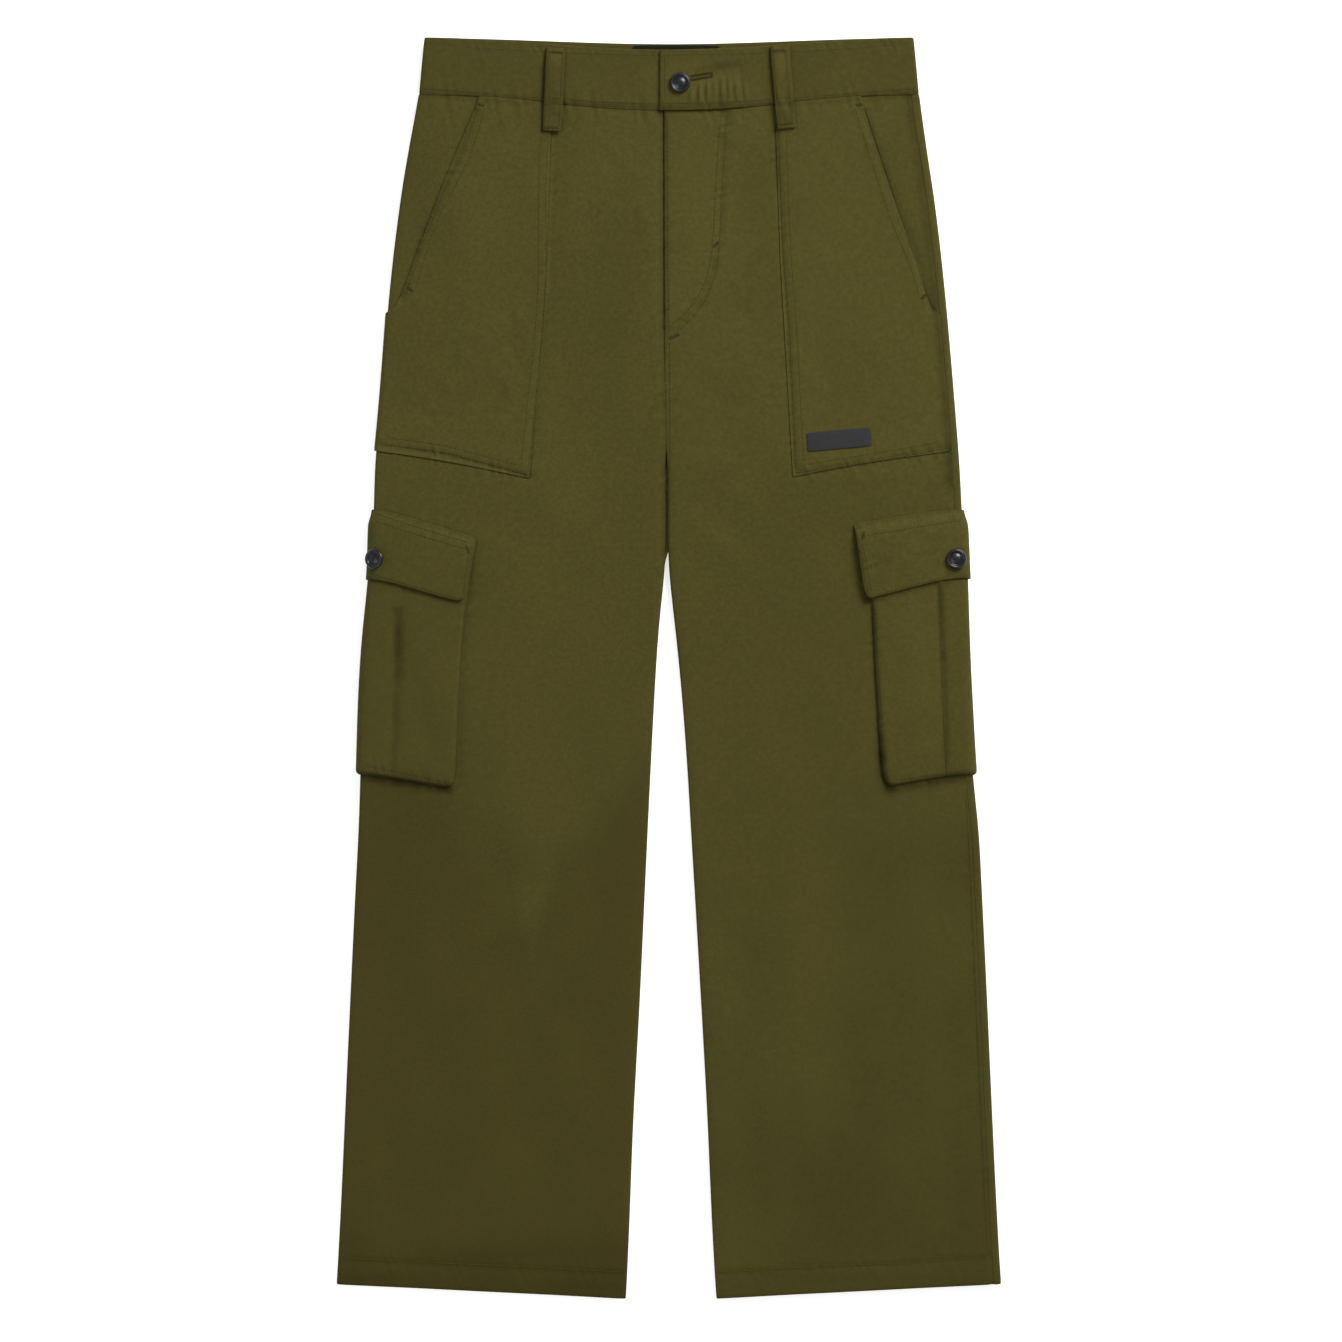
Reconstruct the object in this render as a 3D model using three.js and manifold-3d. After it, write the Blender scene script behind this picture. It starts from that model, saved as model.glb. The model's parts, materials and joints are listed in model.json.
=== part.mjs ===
// Cargo trousers laid flat on a level surface, front side up.
// Millimetres. +X points to the wearer's left, +Y to the waist, +Z up from the surface.
// Each leg is a flat tube: a front panel lies on a back panel, with a round fold down the side.
// A place on a leg is given by its height y and by s, the distance along the cloth from the middle
// of the side fold: s is positive on the front and negative on the back.
// "out" is the distance from the middle of the garment towards the side fold.
import * as THREE from 'three';
import { mergeVertices } from 'three/addons/utils/BufferGeometryUtils.js';
import Module from 'manifold-3d';

const wasm = await Module();
wasm.setup();

// Cloth and gaps
const wall = 1.4;
const bandWall = 2.2;
const flapWall = 1.6;
const gap = 0.3;

// Heights of the flat stack above the surface
const legStack = 5.6;
const waistStack = 3.8;
const waistLift = 2.2;
const bandBottom = 1.8;
const bandTop = 7.5;
const flyLip = 1.2;

// Waist, crotch and hem
const bandSeamY = 471;
const bandTopY = 517;
const seamDip = { front: 13, back: 8 };
const topDip = { front: 10, back: 5 };
const foldTop = 200.9;
const foldSeam = 205.3;
const curlStartY = 187;
const curlEndY = 145;
const hemY = -505;
const hemDrop = 12;
const hemDepth = 20;
const hemExtra = 0.7;

// Cargo pockets: how far the body stands off the leg, and how the pleat and the flap add to that
const pocketStand = 3.6;
const pleatRise = 0.7;
const pleatHalf = 18;
const foldHug = 1.6;
const flapHug = 1.1;
const foldHugWidth = 9;
const flapInner = pocketStand + pleatRise + gap;
const flapOuter = flapInner + flapWall;
const pocketLift = flapOuter;
const pocketRise = { out: 62, flatOut: 141, topY: 226, flatTopY: 144, flatBottomY: -112, bottomY: -196 };
const rearStand = 5.2;
const flapTopY = 130;
const flapBottomY = 74.4;
const bodyTopY = 113.5;
const bodyBottomY = -84;
const bodyHalf = { top: 74, bottom: 71 };
const flapHalf = { top: 82, bottom: 75.5 };
const bottomSlope = 0.18;
const flapBottomSlope = 0.265;
const cornerRound = 9;

// The two sides. seam is where the side seam lies, just under the fold on the wearer's right.
const sides = {
  right: {
    name: 'right', sign: -1, fold: 'foldRight', inner: 'innerRight', seam: -1.5,
    bodyCentre: 8.5, flapCentre: 4, flapTopSlope: 0.31, buttonS: 3.6,
  },
  left: {
    name: 'left', sign: 1, fold: 'foldLeft', inner: 'innerLeft', seam: 8,
    bodyCentre: 5, flapCentre: 8.5, flapTopSlope: 0.155, buttonS: 8.6,
  },
};

// Plan of the legs: where the side folds and the inner edges lie, in distances out from the middle
const plan = [
  { y: 471, foldRight: 205.3, foldLeft: 205.3, innerRight: 4.4, innerLeft: -4.1 },
  { y: 425, foldRight: 213.8, foldLeft: 211.8, innerRight: 4.3, innerLeft: -4.0 },
  { y: 375, foldRight: 221.8, foldLeft: 219.4, innerRight: 4.2, innerLeft: -3.9 },
  { y: 302, foldRight: 230.2, foldLeft: 227.4, innerRight: 4.0, innerLeft: -3.7 },
  { y: 228, foldRight: 235.9, foldLeft: 233.9, innerRight: 3.6, innerLeft: -3.0 },
  { y: 165, foldRight: 241.0, foldLeft: 238.4, innerRight: 2.8, innerLeft: -1.6 },
  { y: 79, foldRight: 243.4, foldLeft: 242.4, innerRight: 3.3, innerLeft: -0.3 },
  { y: 40, foldRight: 247.6, foldLeft: 243.2, innerRight: 8.0, innerLeft: 4.3 },
  { y: -10, foldRight: 251.0, foldLeft: 244.8, innerRight: 11.3, innerLeft: 9.5 },
  { y: -84, foldRight: 253.0, foldLeft: 248.8, innerRight: 15.2, innerLeft: 15.2 },
  { y: -130, foldRight: 254.4, foldLeft: 253.8, innerRight: 17.4, innerLeft: 17.8 },
  { y: -190, foldRight: 257.8, foldLeft: 257.3, innerRight: 20.2, innerLeft: 21.4 },
  { y: -280, foldRight: 262.0, foldLeft: 261.6, innerRight: 24.4, innerLeft: 26.6 },
  { y: -373, foldRight: 266.2, foldLeft: 265.8, innerRight: 29.5, innerLeft: 31.7 },
  { y: -457, foldRight: 270.1, foldLeft: 269.8, innerRight: 32.6, innerLeft: 35.2 },
  { y: -520, foldRight: 273.4, foldLeft: 273.4, innerRight: 35.5, innerLeft: 38.9 },
];

// Largest soft folds of the fronts: a line from one place to another, its width and its height
const creases = [
  { side: 'right', out: 170, y: -150, toOut: 128, toY: -215, width: 16, rise: 0.7 },
  { side: 'right', out: 30, y: -60, toOut: 96, toY: -150, width: 18, rise: 0.7 },
  { side: 'right', out: 150, y: -230, toOut: 165, toY: -430, width: 26, rise: -0.6 },
  { side: 'right', out: 60, y: 330, toOut: 66, toY: 215, width: 20, rise: -0.5 },
  { side: 'left', out: 104, y: -120, toOut: 112, toY: -410, width: 22, rise: 0.8 },
  { side: 'left', out: 160, y: -180, toOut: 150, toY: -440, width: 26, rise: -0.6 },
  { side: 'left', out: 26, y: 120, toOut: 84, toY: 60, width: 16, rise: 0.6 },
  { side: 'left', out: 40, y: 350, toOut: 44, toY: 240, width: 18, rise: 0.5 },
];

// Rows of the leg panels: each stretch starts at y and is cut into steps no longer than step
const rowStretches = [
  { y: bandSeamY - gap, step: 14 },
  { y: 390, step: 34 },
  { y: curlStartY, step: 15 },
  { y: pocketRise.flatTopY, step: 34 },
  { y: pocketRise.flatBottomY, step: 22 },
  { y: pocketRise.bottomY, step: 36 },
  { y: hemY + hemDepth + 2, step: 4 },
  { y: hemY + hemDepth - 1, step: 30 },
  { y: hemY, step: 30 },
];
const flatSteps = 9;
const foldSteps = 3;
const fullQuarter = legStack * Math.PI / 4;

// Hip pockets: plan of the patch and of its slanted mouth, in distances out from the middle
const hipPockets = {
  right: {
    innerTop: 95.5, innerMiddle: 101, innerBottom: 114, bottomY: 156, bottomRise: 25,
    mouthOut: 158.3, mouthBend: 187, mouthEndOut: 222, mouthEndY: 298,
  },
  left: {
    innerTop: 87, innerMiddle: 92, innerBottom: 102, bottomY: 157.5, bottomRise: 24,
    mouthOut: 160, mouthBend: 181, mouthEndOut: 215.5, mouthEndY: 294,
  },
};
const hipPocketMiddleY = 330;
const tag = { width: 52, height: 15, wall: 0.8, out: 139.4, y: 187.5, tilt: 5 };

// Belt loops: width, and the underside of a front loop and its cloth from bottom to top
const loopWidth = 15;
const loopWall = 1.5;
const frontLoopRows = [
  { y: -34, under: 8.0, thick: 2.4 },
  { y: -27, under: 8.0, thick: 2.4 },
  { y: -23, under: 8.2, thick: 1.7 },
  { y: -14, under: 9.2, thick: loopWall },
  { y: 2, under: 9.7, thick: loopWall },
  { y: 20, under: 9.6, thick: loopWall },
  { y: 28, under: 8.6, thick: 1.7 },
  { y: 31, under: bandTop + gap, thick: 2.2 },
  { y: 34, under: bandTop + gap, thick: 2.0 },
];
const frontLoops = [
  { name: 'belt_loop_front_right', x: -94.3, y: 474.6, tilt: -2.7 },
  { name: 'belt_loop_front_left', x: 93.6, y: 476.6, tilt: 5 },
];
const backLoopTopY = 508;
const backLoopBottomY = 441;
const backLoops = [
  { name: 'belt_loop_back_right', x: -108 },
  { name: 'belt_loop_back_middle', x: 0 },
  { name: 'belt_loop_back_left', x: 108 },
];

// Waistband ends at the middle front, the buttons and the strip inside the back
const lapEndX = -7.2;
const underEndX = 32;
const lapFlatX = 40;
const lapFootX = 76;
const buttonRadius = 8.5;
const waistButton = { x: 9, y: 479.9 };
const flapButtonY = 89.5;
const flapButtonTilt = { right: 16, left: 3 };
const label = { fromX: -30.5, toX: 42, topY: 511, bottomY: 490, wall: 0.6 };

const cloth = new THREE.MeshStandardMaterial({ color: 0x4d4824, roughness: 0.93, metalness: 0 });
const metal = new THREE.MeshStandardMaterial({ color: 0x33343a, roughness: 0.38, metalness: 0.85 });
const tagCloth = new THREE.MeshStandardMaterial({ color: 0x38393c, roughness: 0.85, metalness: 0 });
const labelCloth = new THREE.MeshStandardMaterial({ color: 0x232420, roughness: 0.9, metalness: 0 });

// A soft step from 0 at a to 1 at b, where b may be above or below a
function ramp(value, a, b) {
  const t = Math.min(1, Math.max(0, (value - a) / (b - a)));
  return t * t * (3 - 2 * t);
}

function mix(a, b, t) {
  return a + (b - a) * t;
}

// A smooth curve through one column of a table whose y falls from row to row
function readTable(rows, column, y) {
  const last = rows.length - 1;
  let i = 0;
  while (i < last - 1 && y < rows[i + 1].y) {
    i += 1;
  }
  const slopeAt = (j) => {
    const before = rows[Math.max(0, j - 1)];
    const after = rows[Math.min(last, j + 1)];
    return (after[column] - before[column]) / (after.y - before.y);
  };
  const start = rows[i];
  const end = rows[i + 1];
  const span = end.y - start.y;
  const t = Math.max(0, Math.min(1, (y - start.y) / span));
  const t2 = t * t;
  const t3 = t2 * t;
  return (2 * t3 - 3 * t2 + 1) * start[column] + (t3 - 2 * t2 + t) * span * slopeAt(i)
    + (3 * t2 - 2 * t3) * end[column] + (t3 - t2) * span * slopeAt(i + 1);
}

// How far the waist seam and the band's top edge sag between the sides
function waistBow(x) {
  const reach = Math.min(1, Math.abs(x) / foldTop);
  return (1 + Math.cos(Math.PI * reach)) / 2;
}

// Height of the leg's underside: up over the belt loops, and up over a cargo pocket and its flap
function liftAt(out, y) {
  const overLoops = waistLift * ramp(y, 390, 436);
  const overPocket = pocketLift * ramp(out, pocketRise.out, pocketRise.flatOut)
    * ramp(y, pocketRise.topY, pocketRise.flatTopY) * ramp(y, pocketRise.bottomY, pocketRise.flatBottomY);
  return overLoops + overPocket;
}

function stackAt(y) {
  return mix(legStack, waistStack, ramp(y, 390, 436));
}

// Height that the soft folds give the front panel. None lies under a pocket or at an edge.
function creaseAt(side, out, y) {
  let rise = 0;
  for (const crease of creases.filter((item) => item.side === side.name)) {
    const alongX = crease.toOut - crease.out;
    const alongY = crease.toY - crease.y;
    const length2 = alongX * alongX + alongY * alongY;
    const t = ((out - crease.out) * alongX + (y - crease.y) * alongY) / length2;
    const nearest = Math.max(0, Math.min(1, t));
    const dx = out - crease.out - nearest * alongX;
    const dy = y - crease.y - nearest * alongY;
    const far2 = (dx * dx + dy * dy) / (crease.width * crease.width);
    rise += crease.rise * Math.exp(-far2);
  }
  const fold = readTable(plan, side.fold, y);
  const inner = readTable(plan, side.inner, y);
  const edges = ramp(out, fold - 24, fold - 50) * ramp(out, inner + 5, inner + 28);
  const pocket = ramp(out, pocketRise.flatOut - 37, pocketRise.flatOut - 13)
    * ramp(y, pocketRise.flatTopY + 43, pocketRise.flatTopY + 16)
    * ramp(y, pocketRise.flatBottomY - 38, pocketRise.flatBottomY - 12);
  return rise * edges * (1 - pocket);
}

// The left front's edge lies a little high at the fly, over the right front
function flyAt(side, out, y) {
  return side.sign > 0 ? flyLip * ramp(out, 46, 10) * ramp(y, 236, 268) : 0;
}

// Section of one leg at y: a flat stretch between the round side fold and the inner edge,
// which stays open above the crotch and curls to the inseam below it
function legSection(side, y) {
  const half = stackAt(y) / 2;
  const quarter = half * Math.PI / 2;
  const fold = readTable(plan, side.fold, y);
  const inner = readTable(plan, side.inner, y);
  const turn = ramp(y, curlStartY, curlEndY) * Math.PI / 2;
  const curled = turn > 0.01;
  const radius = curled ? quarter / turn : 0;
  const flatEnd = inner + (curled ? radius * Math.sin(turn) : quarter);
  const reach = 2 * quarter + fold - half - flatEnd;
  return { half, quarter, fold, curled, radius, flatEnd, reach };
}

// The point of a leg's outer face at s, moved off by the distance off
function legPoint(side, y, s, off) {
  const section = legSection(side, y);
  const face = s < 0 ? -1 : 1;
  const along = Math.abs(s);
  let out = section.fold - section.half - (along - section.quarter);
  let rise = face * (section.half + off);
  if (along <= section.quarter) {
    const angle = s / section.half;
    out = section.fold - section.half + (section.half + off) * Math.cos(angle);
    rise = (section.half + off) * Math.sin(angle);
  } else if (section.curled && along > section.reach - section.quarter) {
    const angle = (along - section.reach + section.quarter) / section.radius;
    out = section.flatEnd - (section.radius + off) * Math.sin(angle);
    rise = face * (section.half - section.radius + (section.radius + off) * Math.cos(angle));
  }
  const soft = face > 0 ? creaseAt(side, out, y) + flyAt(side, out, y) : 0;
  return new THREE.Vector3(side.sign * out, y, section.half + liftAt(out, y) + rise + soft);
}

// Values from start to end in equal steps, without the start
function stepsTo(start, end, count) {
  return Array.from({ length: count }, (_, i) => mix(start, end, (i + 1) / count));
}

// The places s of a panel's columns at y, from the side seam to its inner edge.
// face is 1 for a front panel and -1 for a back panel.
function panelColumns(side, face, y) {
  const section = legSection(side, y);
  const start = face * side.seam + gap / 2;
  const places = [start];
  if (start < -section.quarter) {
    places.push(-section.quarter);
  }
  if (start < section.quarter) {
    const foldShare = (fullQuarter - Math.max(start, -fullQuarter)) / fullQuarter;
    const foldStart = Math.max(start, -section.quarter);
    places.push(...stepsTo(foldStart, section.quarter, Math.ceil(foldSteps * foldShare)));
  }
  const flatStart = Math.max(start, section.quarter);
  const flatEnd = section.reach - section.quarter;
  places.push(...stepsTo(flatStart, flatEnd, flatSteps));
  places.push(section.reach - section.quarter / 2, section.reach - gap / 2);
  return places.map((s) => s * face);
}

// Height y of a panel's row at a place: rows bow down to the waist seam and slant at the hem
function rowHeight(level, x, face) {
  const dip = (face > 0 ? seamDip.front : seamDip.back) * waistBow(x) * ramp(level, 392, bandSeamY);
  const slant = hemDrop * (273 - Math.abs(x)) / (273 - 35.4) * ramp(level, -400, hemY);
  return level - dip - slant;
}

function panelLevels() {
  const levels = [];
  for (let i = 0; i < rowStretches.length - 1; i += 1) {
    const { y, step } = rowStretches[i];
    const end = rowStretches[i + 1].y;
    const count = Math.ceil((y - end) / step);
    levels.push(y, ...stepsTo(y, end, count).slice(0, -1));
  }
  levels.push(hemY);
  return levels;
}

// The outer or inner points of a leg panel, a list of rows. offAt gives the distance off the face.
function panelSheet(side, face, levels, offAt) {
  return levels.map((level) => panelColumns(side, face, level).map((s, column) => {
    const x = legPoint(side, level, s, 0).x;
    const y = rowHeight(level, x, face);
    return legPoint(side, y, panelColumns(side, face, y)[column], offAt(level));
  }));
}

// A closed wall between two sheets of points of the same rows and columns
function wallBetween(outer, inner) {
  const rows = outer.length;
  const columns = outer[0].length;
  const positions = [outer, inner].flat(2).flatMap((point) => [point.x, point.y, point.z]);
  const at = (sheet, row, column) => (sheet * rows + row) * columns + column;
  const index = [];
  const quad = (a, b, c, d) => index.push(a, b, c, a, c, d);
  for (let r = 0; r < rows - 1; r += 1) {
    for (let c = 0; c < columns - 1; c += 1) {
      quad(at(0, r, c), at(0, r, c + 1), at(0, r + 1, c + 1), at(0, r + 1, c));
      quad(at(1, r, c), at(1, r + 1, c), at(1, r + 1, c + 1), at(1, r, c + 1));
    }
    const end = columns - 1;
    quad(at(0, r, 0), at(0, r + 1, 0), at(1, r + 1, 0), at(1, r, 0));
    quad(at(0, r, end), at(1, r, end), at(1, r + 1, end), at(0, r + 1, end));
  }
  for (let c = 0; c < columns - 1; c += 1) {
    const end = rows - 1;
    quad(at(0, 0, c), at(1, 0, c), at(1, 0, c + 1), at(0, 0, c + 1));
    quad(at(0, end, c), at(0, end, c + 1), at(1, end, c + 1), at(1, end, c));
  }
  const geometry = new THREE.BufferGeometry();
  geometry.setAttribute('position', new THREE.Float32BufferAttribute(positions, 3));
  geometry.setIndex(faceOutward(positions, index));
  return geometry;
}

// Turns every triangle round if the closed surface faces inwards
function faceOutward(positions, index) {
  const corner = (i) => new THREE.Vector3().fromArray(positions, 3 * index[i]);
  let volume = 0;
  for (let i = 0; i < index.length; i += 3) {
    volume += corner(i).dot(corner(i + 1).cross(corner(i + 2)));
  }
  if (volume > 0) {
    return index;
  }
  return index.map((value, i) => (i % 3 === 0 ? value : index[i % 3 === 1 ? i + 1 : i - 1]));
}

// A leg panel from the waist seam to the hem, thicker inside where the hem is turned up
function legPanel(side, face) {
  const levels = panelLevels();
  const outer = panelSheet(side, face, levels, () => 0);
  const inner = panelSheet(side, face, levels, (level) => {
    const turned = level < hemY + hemDepth ? hemExtra : 0;
    return -wall - turned;
  });
  return wallBetween(outer, inner);
}

function toManifold(geometry) {
  const bare = geometry.clone();
  bare.deleteAttribute('normal');
  bare.deleteAttribute('uv');
  const merged = mergeVertices(bare, 1e-4);
  return new wasm.Manifold(new wasm.Mesh({
    numProp: 3,
    vertProperties: new Float32Array(merged.attributes.position.array),
    triVerts: new Uint32Array(merged.index.array),
  }));
}

function fromManifold(solid) {
  const mesh = solid.getMesh();
  const geometry = new THREE.BufferGeometry();
  geometry.setAttribute('position', new THREE.Float32BufferAttribute(mesh.vertProperties, 3));
  geometry.setIndex(Array.from(mesh.triVerts));
  return geometry;
}

// Cloth that lies on a front panel: the panel's own points moved off, cut to an outline in plan
function patchOnFront(side, outline, off, thickness, lowestLevel) {
  const levels = panelLevels().filter((level) => level > lowestLevel);
  const outer = panelSheet(side, 1, levels, () => off + thickness);
  const inner = panelSheet(side, 1, levels, () => off);
  const cutter = new THREE.ExtrudeGeometry(outline, { depth: 60, bevelEnabled: false, curveSegments: 6 });
  cutter.translate(0, 0, -20);
  return fromManifold(toManifold(wallBetween(outer, inner)).intersect(toManifold(cutter)));
}

// Plan of a hip pocket: inner edge, slanted mouth, and a bottom edge that runs past the side fold
function hipPocketOutline(side) {
  const size = hipPockets[side.name];
  const beyondFold = 262;
  const outline = new THREE.Shape();
  const place = (out, y) => [side.sign * out, y];
  outline.moveTo(...place(size.innerTop, bandSeamY));
  outline.lineTo(...place(size.innerMiddle, hipPocketMiddleY));
  outline.lineTo(...place(size.innerBottom, size.bottomY));
  outline.quadraticCurveTo(
    ...place(mix(size.innerBottom, beyondFold, 0.5), size.bottomY + size.bottomRise * 0.68),
    ...place(beyondFold, size.bottomY + size.bottomRise),
  );
  outline.lineTo(...place(beyondFold, size.mouthEndY - 26));
  outline.lineTo(...place(size.mouthEndOut, size.mouthEndY));
  outline.quadraticCurveTo(
    ...place(size.mouthBend, mix(bandSeamY, size.mouthEndY, 0.42)),
    ...place(size.mouthOut, bandSeamY - 11),
  );
  outline.lineTo(...place(size.mouthOut - 3, bandSeamY));
  return outline;
}

function tagOutline() {
  const tilt = THREE.MathUtils.degToRad(tag.tilt);
  const outline = new THREE.Shape();
  const corners = [[-1, -1], [1, -1], [1, 1], [-1, 1]];
  corners.forEach(([h, v], i) => {
    const corner = new THREE.Vector2(h * tag.width / 2, v * tag.height / 2);
    corner.rotateAround(new THREE.Vector2(0, 0), tilt);
    outline[i === 0 ? 'moveTo' : 'lineTo'](tag.out + corner.x, tag.y + corner.y);
  });
  return outline;
}

// The body hugs the side fold near its mouth. low is 0 at the mouth and 1 at the bottom.
function standAt(s, low) {
  const hug = foldHug * Math.exp(-((s / foldHugWidth) ** 2)) * (1 - low);
  const rear = (rearStand - pocketStand) * ramp(s, -14, -34) * ramp(low, 0.3, 0.45);
  return pocketStand - hug + rear;
}

// Rounded roll of cloth from the leg up to the pocket's face: in is the way in from the border
function rollSteps(radius, inset) {
  return [0, 30, 60, 90].map((degrees) => {
    const angle = THREE.MathUtils.degToRad(degrees);
    return { in: inset + (radius - inset) * (1 - Math.cos(angle)), up: Math.sin(angle) };
  });
}

// Columns of a cargo pocket's body, from its rear border round the fold to its front border.
// across is the distance from the body's centre line, up is the share of the stand off the leg,
// and pleat is 1 on the pleat's crown and less than 0 in the groove beside it.
function bodyColumns(side, section, half, inset) {
  const pleatFoot = pleatHalf + 13;
  const shift = inset > 0 ? 1.1 : 0;
  const roll = rollSteps(pocketStand, inset);
  const pleat = (sign, outward) => {
    const foot = { across: sign * (pleatHalf + 0.3 - shift), up: 1, pleat: -0.45 };
    const crown = { across: sign * (pleatHalf - 0.3 - shift), up: 1, pleat: 1 };
    const slope = { across: sign * pleatFoot, up: 1, pleat: 0 };
    return outward ? [crown, foot, slope] : [slope, foot, crown];
  };
  const plain = (across) => ({ across, up: 1, pleat: 0 });
  const rear = roll.map((step) => ({ across: -(half - step.in), up: step.up, pleat: 0 }));
  const front = roll.map((step) => ({ across: half - step.in, up: step.up, pleat: 0 })).reverse();
  const fold = [-1, -0.66, -0.33, 0, 0.33, 0.66, 1].map((t) => ({
    across: t * section.quarter - side.bodyCentre, up: 1, pleat: 1,
  }));
  const betweenFoldAndPleat = { across: pleatHalf / 2, up: 1, pleat: 1 };
  return [...rear, plain(-mix(half, pleatFoot, 0.5)), ...pleat(-1, false), ...fold,
    betweenFoldAndPleat, ...pleat(1, true), plain(mix(half, pleatFoot, 0.5)), ...front];
}

// A cargo pocket's body: a shallow tray of cloth that is open at its mouth under the flap
function cargoBody(side) {
  const sheet = (inset) => {
    const bottomRoll = rollSteps(pocketStand, inset);
    const rows = [0, 0.14, 0.28, 0.42, 0.56, 0.7, 0.84].map((low) => ({ low, up: 1 }));
    const length = bodyTopY - bodyBottomY;
    rows.push({ low: 1 - cornerRound / length, up: 1 });
    bottomRoll.reverse().forEach((step) => rows.push({ low: 1 - step.in / length, up: step.up }));
    return rows.map((row) => {
      const level = mix(bodyTopY, bodyBottomY, row.low);
      const section = legSection(side, level);
      const fromBottom = (1 - row.low) * length - inset;
      const short = Math.max(0, cornerRound - Math.max(0, fromBottom));
      const round = cornerRound - Math.sqrt(cornerRound ** 2 - short ** 2);
      const half = mix(bodyHalf.top, bodyHalf.bottom, row.low) - round;
      const slope = mix(side.flapTopSlope, bottomSlope, row.low);
      return bodyColumns(side, section, half, inset).map((column) => {
        const s = side.bodyCentre + column.across;
        const topRoll = column.up * row.up;
        const stand = standAt(s, row.low) + pleatRise * column.pleat - inset;
        const y = level - slope * (Math.hypot(s - side.flapCentre, 8) - 8);
        return legPoint(side, y, s, gap + (stand - gap) * topRoll);
      });
    });
  };
  return wallBetween(sheet(0), sheet(wall));
}

// A cargo flap: sewn to the leg along its top, it rises over the body's mouth and hangs free
function cargoFlap(side) {
  const rows = [
    { low: 0, up: 0 },
    { low: 0.06, up: 0.12 },
    { low: 0.13, up: 0.55 },
    { low: 0.2, up: 0.9 },
    { low: 0.28, up: 1 },
    { low: 0.6, up: 1 },
    { low: 0.93, up: 1 },
    { low: 1, up: 1 },
  ];
  const sheet = (off) => rows.map((row) => {
    const level = mix(flapTopY, flapBottomY, row.low);
    const section = legSection(side, level);
    const half = mix(flapHalf.top, flapHalf.bottom, row.low) - (row.low > 0.99 ? 4 : 0);
    const slope = mix(side.flapTopSlope, flapBottomSlope, row.low);
    const fold = [-1, -0.66, -0.33, 0, 0.33, 0.66, 1].map((t) => t * section.quarter);
    const rear = stepsTo(side.flapCentre - half - 1, -section.quarter, 4).slice(0, -1);
    const front = stepsTo(section.quarter, side.flapCentre + half, 5);
    const places = [side.flapCentre - half, ...rear, ...fold, ...front];
    return places.map((s) => {
      const y = level - slope * (Math.hypot(s - side.flapCentre, 8) - 8);
      const hug = flapHug * Math.exp(-((s / foldHugWidth) ** 2));
      return legPoint(side, y, s, gap + off + (flapInner - gap - hug) * row.up);
    });
  });
  return wallBetween(sheet(flapWall), sheet(0));
}

// The waistband: one strip that starts at the lapped end on the front, runs round both side folds
// and ends under its own start
function bandStations() {
  const half = (bandTop - bandBottom) / 2;
  const frontFlat = foldTop - half;
  const stations = [];
  const lapXs = [lapEndX, ...stepsTo(lapEndX, lapFlatX, 3), ...stepsTo(lapFlatX, lapFootX, 4)];
  lapXs.forEach((x) => stations.push({ x, lap: 1 - ramp(x, lapFlatX, lapFootX), face: 1 }));
  stepsTo(lapFootX, frontFlat, 5).forEach((x) => stations.push({ x, lap: 0, face: 1 }));
  stepsTo(90, -90, 6).slice(0, -1).forEach((angle) => stations.push({ angle, sign: 1 }));
  [frontFlat, ...stepsTo(frontFlat, -frontFlat, 16)].forEach((x) => stations.push({ x, lap: 0, face: -1 }));
  stepsTo(-90, 90, 6).slice(0, -1).forEach((angle) => stations.push({ angle, sign: -1 }));
  [-frontFlat, ...stepsTo(-frontFlat, underEndX, 9)].forEach((x) => stations.push({ x, lap: 0, face: 1 }));
  return stations;
}

function bandPoint(station, low, off) {
  const half = (bandTop - bandBottom) / 2;
  const middle = (bandTop + bandBottom) / 2;
  const spread = (foldSeam - foldTop) * low;
  if (station.angle !== undefined) {
    const angle = THREE.MathUtils.degToRad(station.angle);
    const x = station.sign * (foldTop + spread - half + (half + off) * Math.cos(angle));
    return new THREE.Vector3(x, mix(bandTopY, bandSeamY, low), middle + (half + off) * Math.sin(angle));
  }
  const x = station.x * (1 + spread / foldTop);
  const part = station.face > 0 ? 'front' : 'back';
  const top = bandTopY - topDip[part] * waistBow(x);
  const bottom = bandSeamY - seamDip[part] * waistBow(x);
  const lapRise = station.lap * (bandWall + gap);
  return new THREE.Vector3(x, mix(top, bottom, low), middle + station.face * (half + off) + lapRise);
}

function waistband() {
  const rows = [0, 0.04, 0.5, 0.96, 1];
  const stations = bandStations();
  const sheet = (offEdge, offMiddle) => rows.map((low) => stations.map((station) => {
    const off = low === 0 || low === 1 ? offEdge : offMiddle;
    return bandPoint(station, low, off);
  }));
  return wallBetween(sheet(-0.5, 0), sheet(-bandWall + 0.5, -bandWall));
}

// A strip of cloth along Y: a side profile through rows of underside and thickness, made loopWidth wide
function loopStrip(rows) {
  const profile = new THREE.Shape();
  rows.forEach((row, i) => profile[i === 0 ? 'moveTo' : 'lineTo'](row.y, row.under));
  [...rows].reverse().forEach((row) => profile.lineTo(row.y, row.under + row.thick));
  const strip = new THREE.ExtrudeGeometry(profile, { depth: loopWidth, bevelEnabled: false });
  strip.translate(0, 0, -loopWidth / 2);
  strip.applyMatrix4(new THREE.Matrix4().makeBasis(
    new THREE.Vector3(0, 1, 0), new THREE.Vector3(0, 0, 1), new THREE.Vector3(1, 0, 0)));
  return strip;
}

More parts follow.
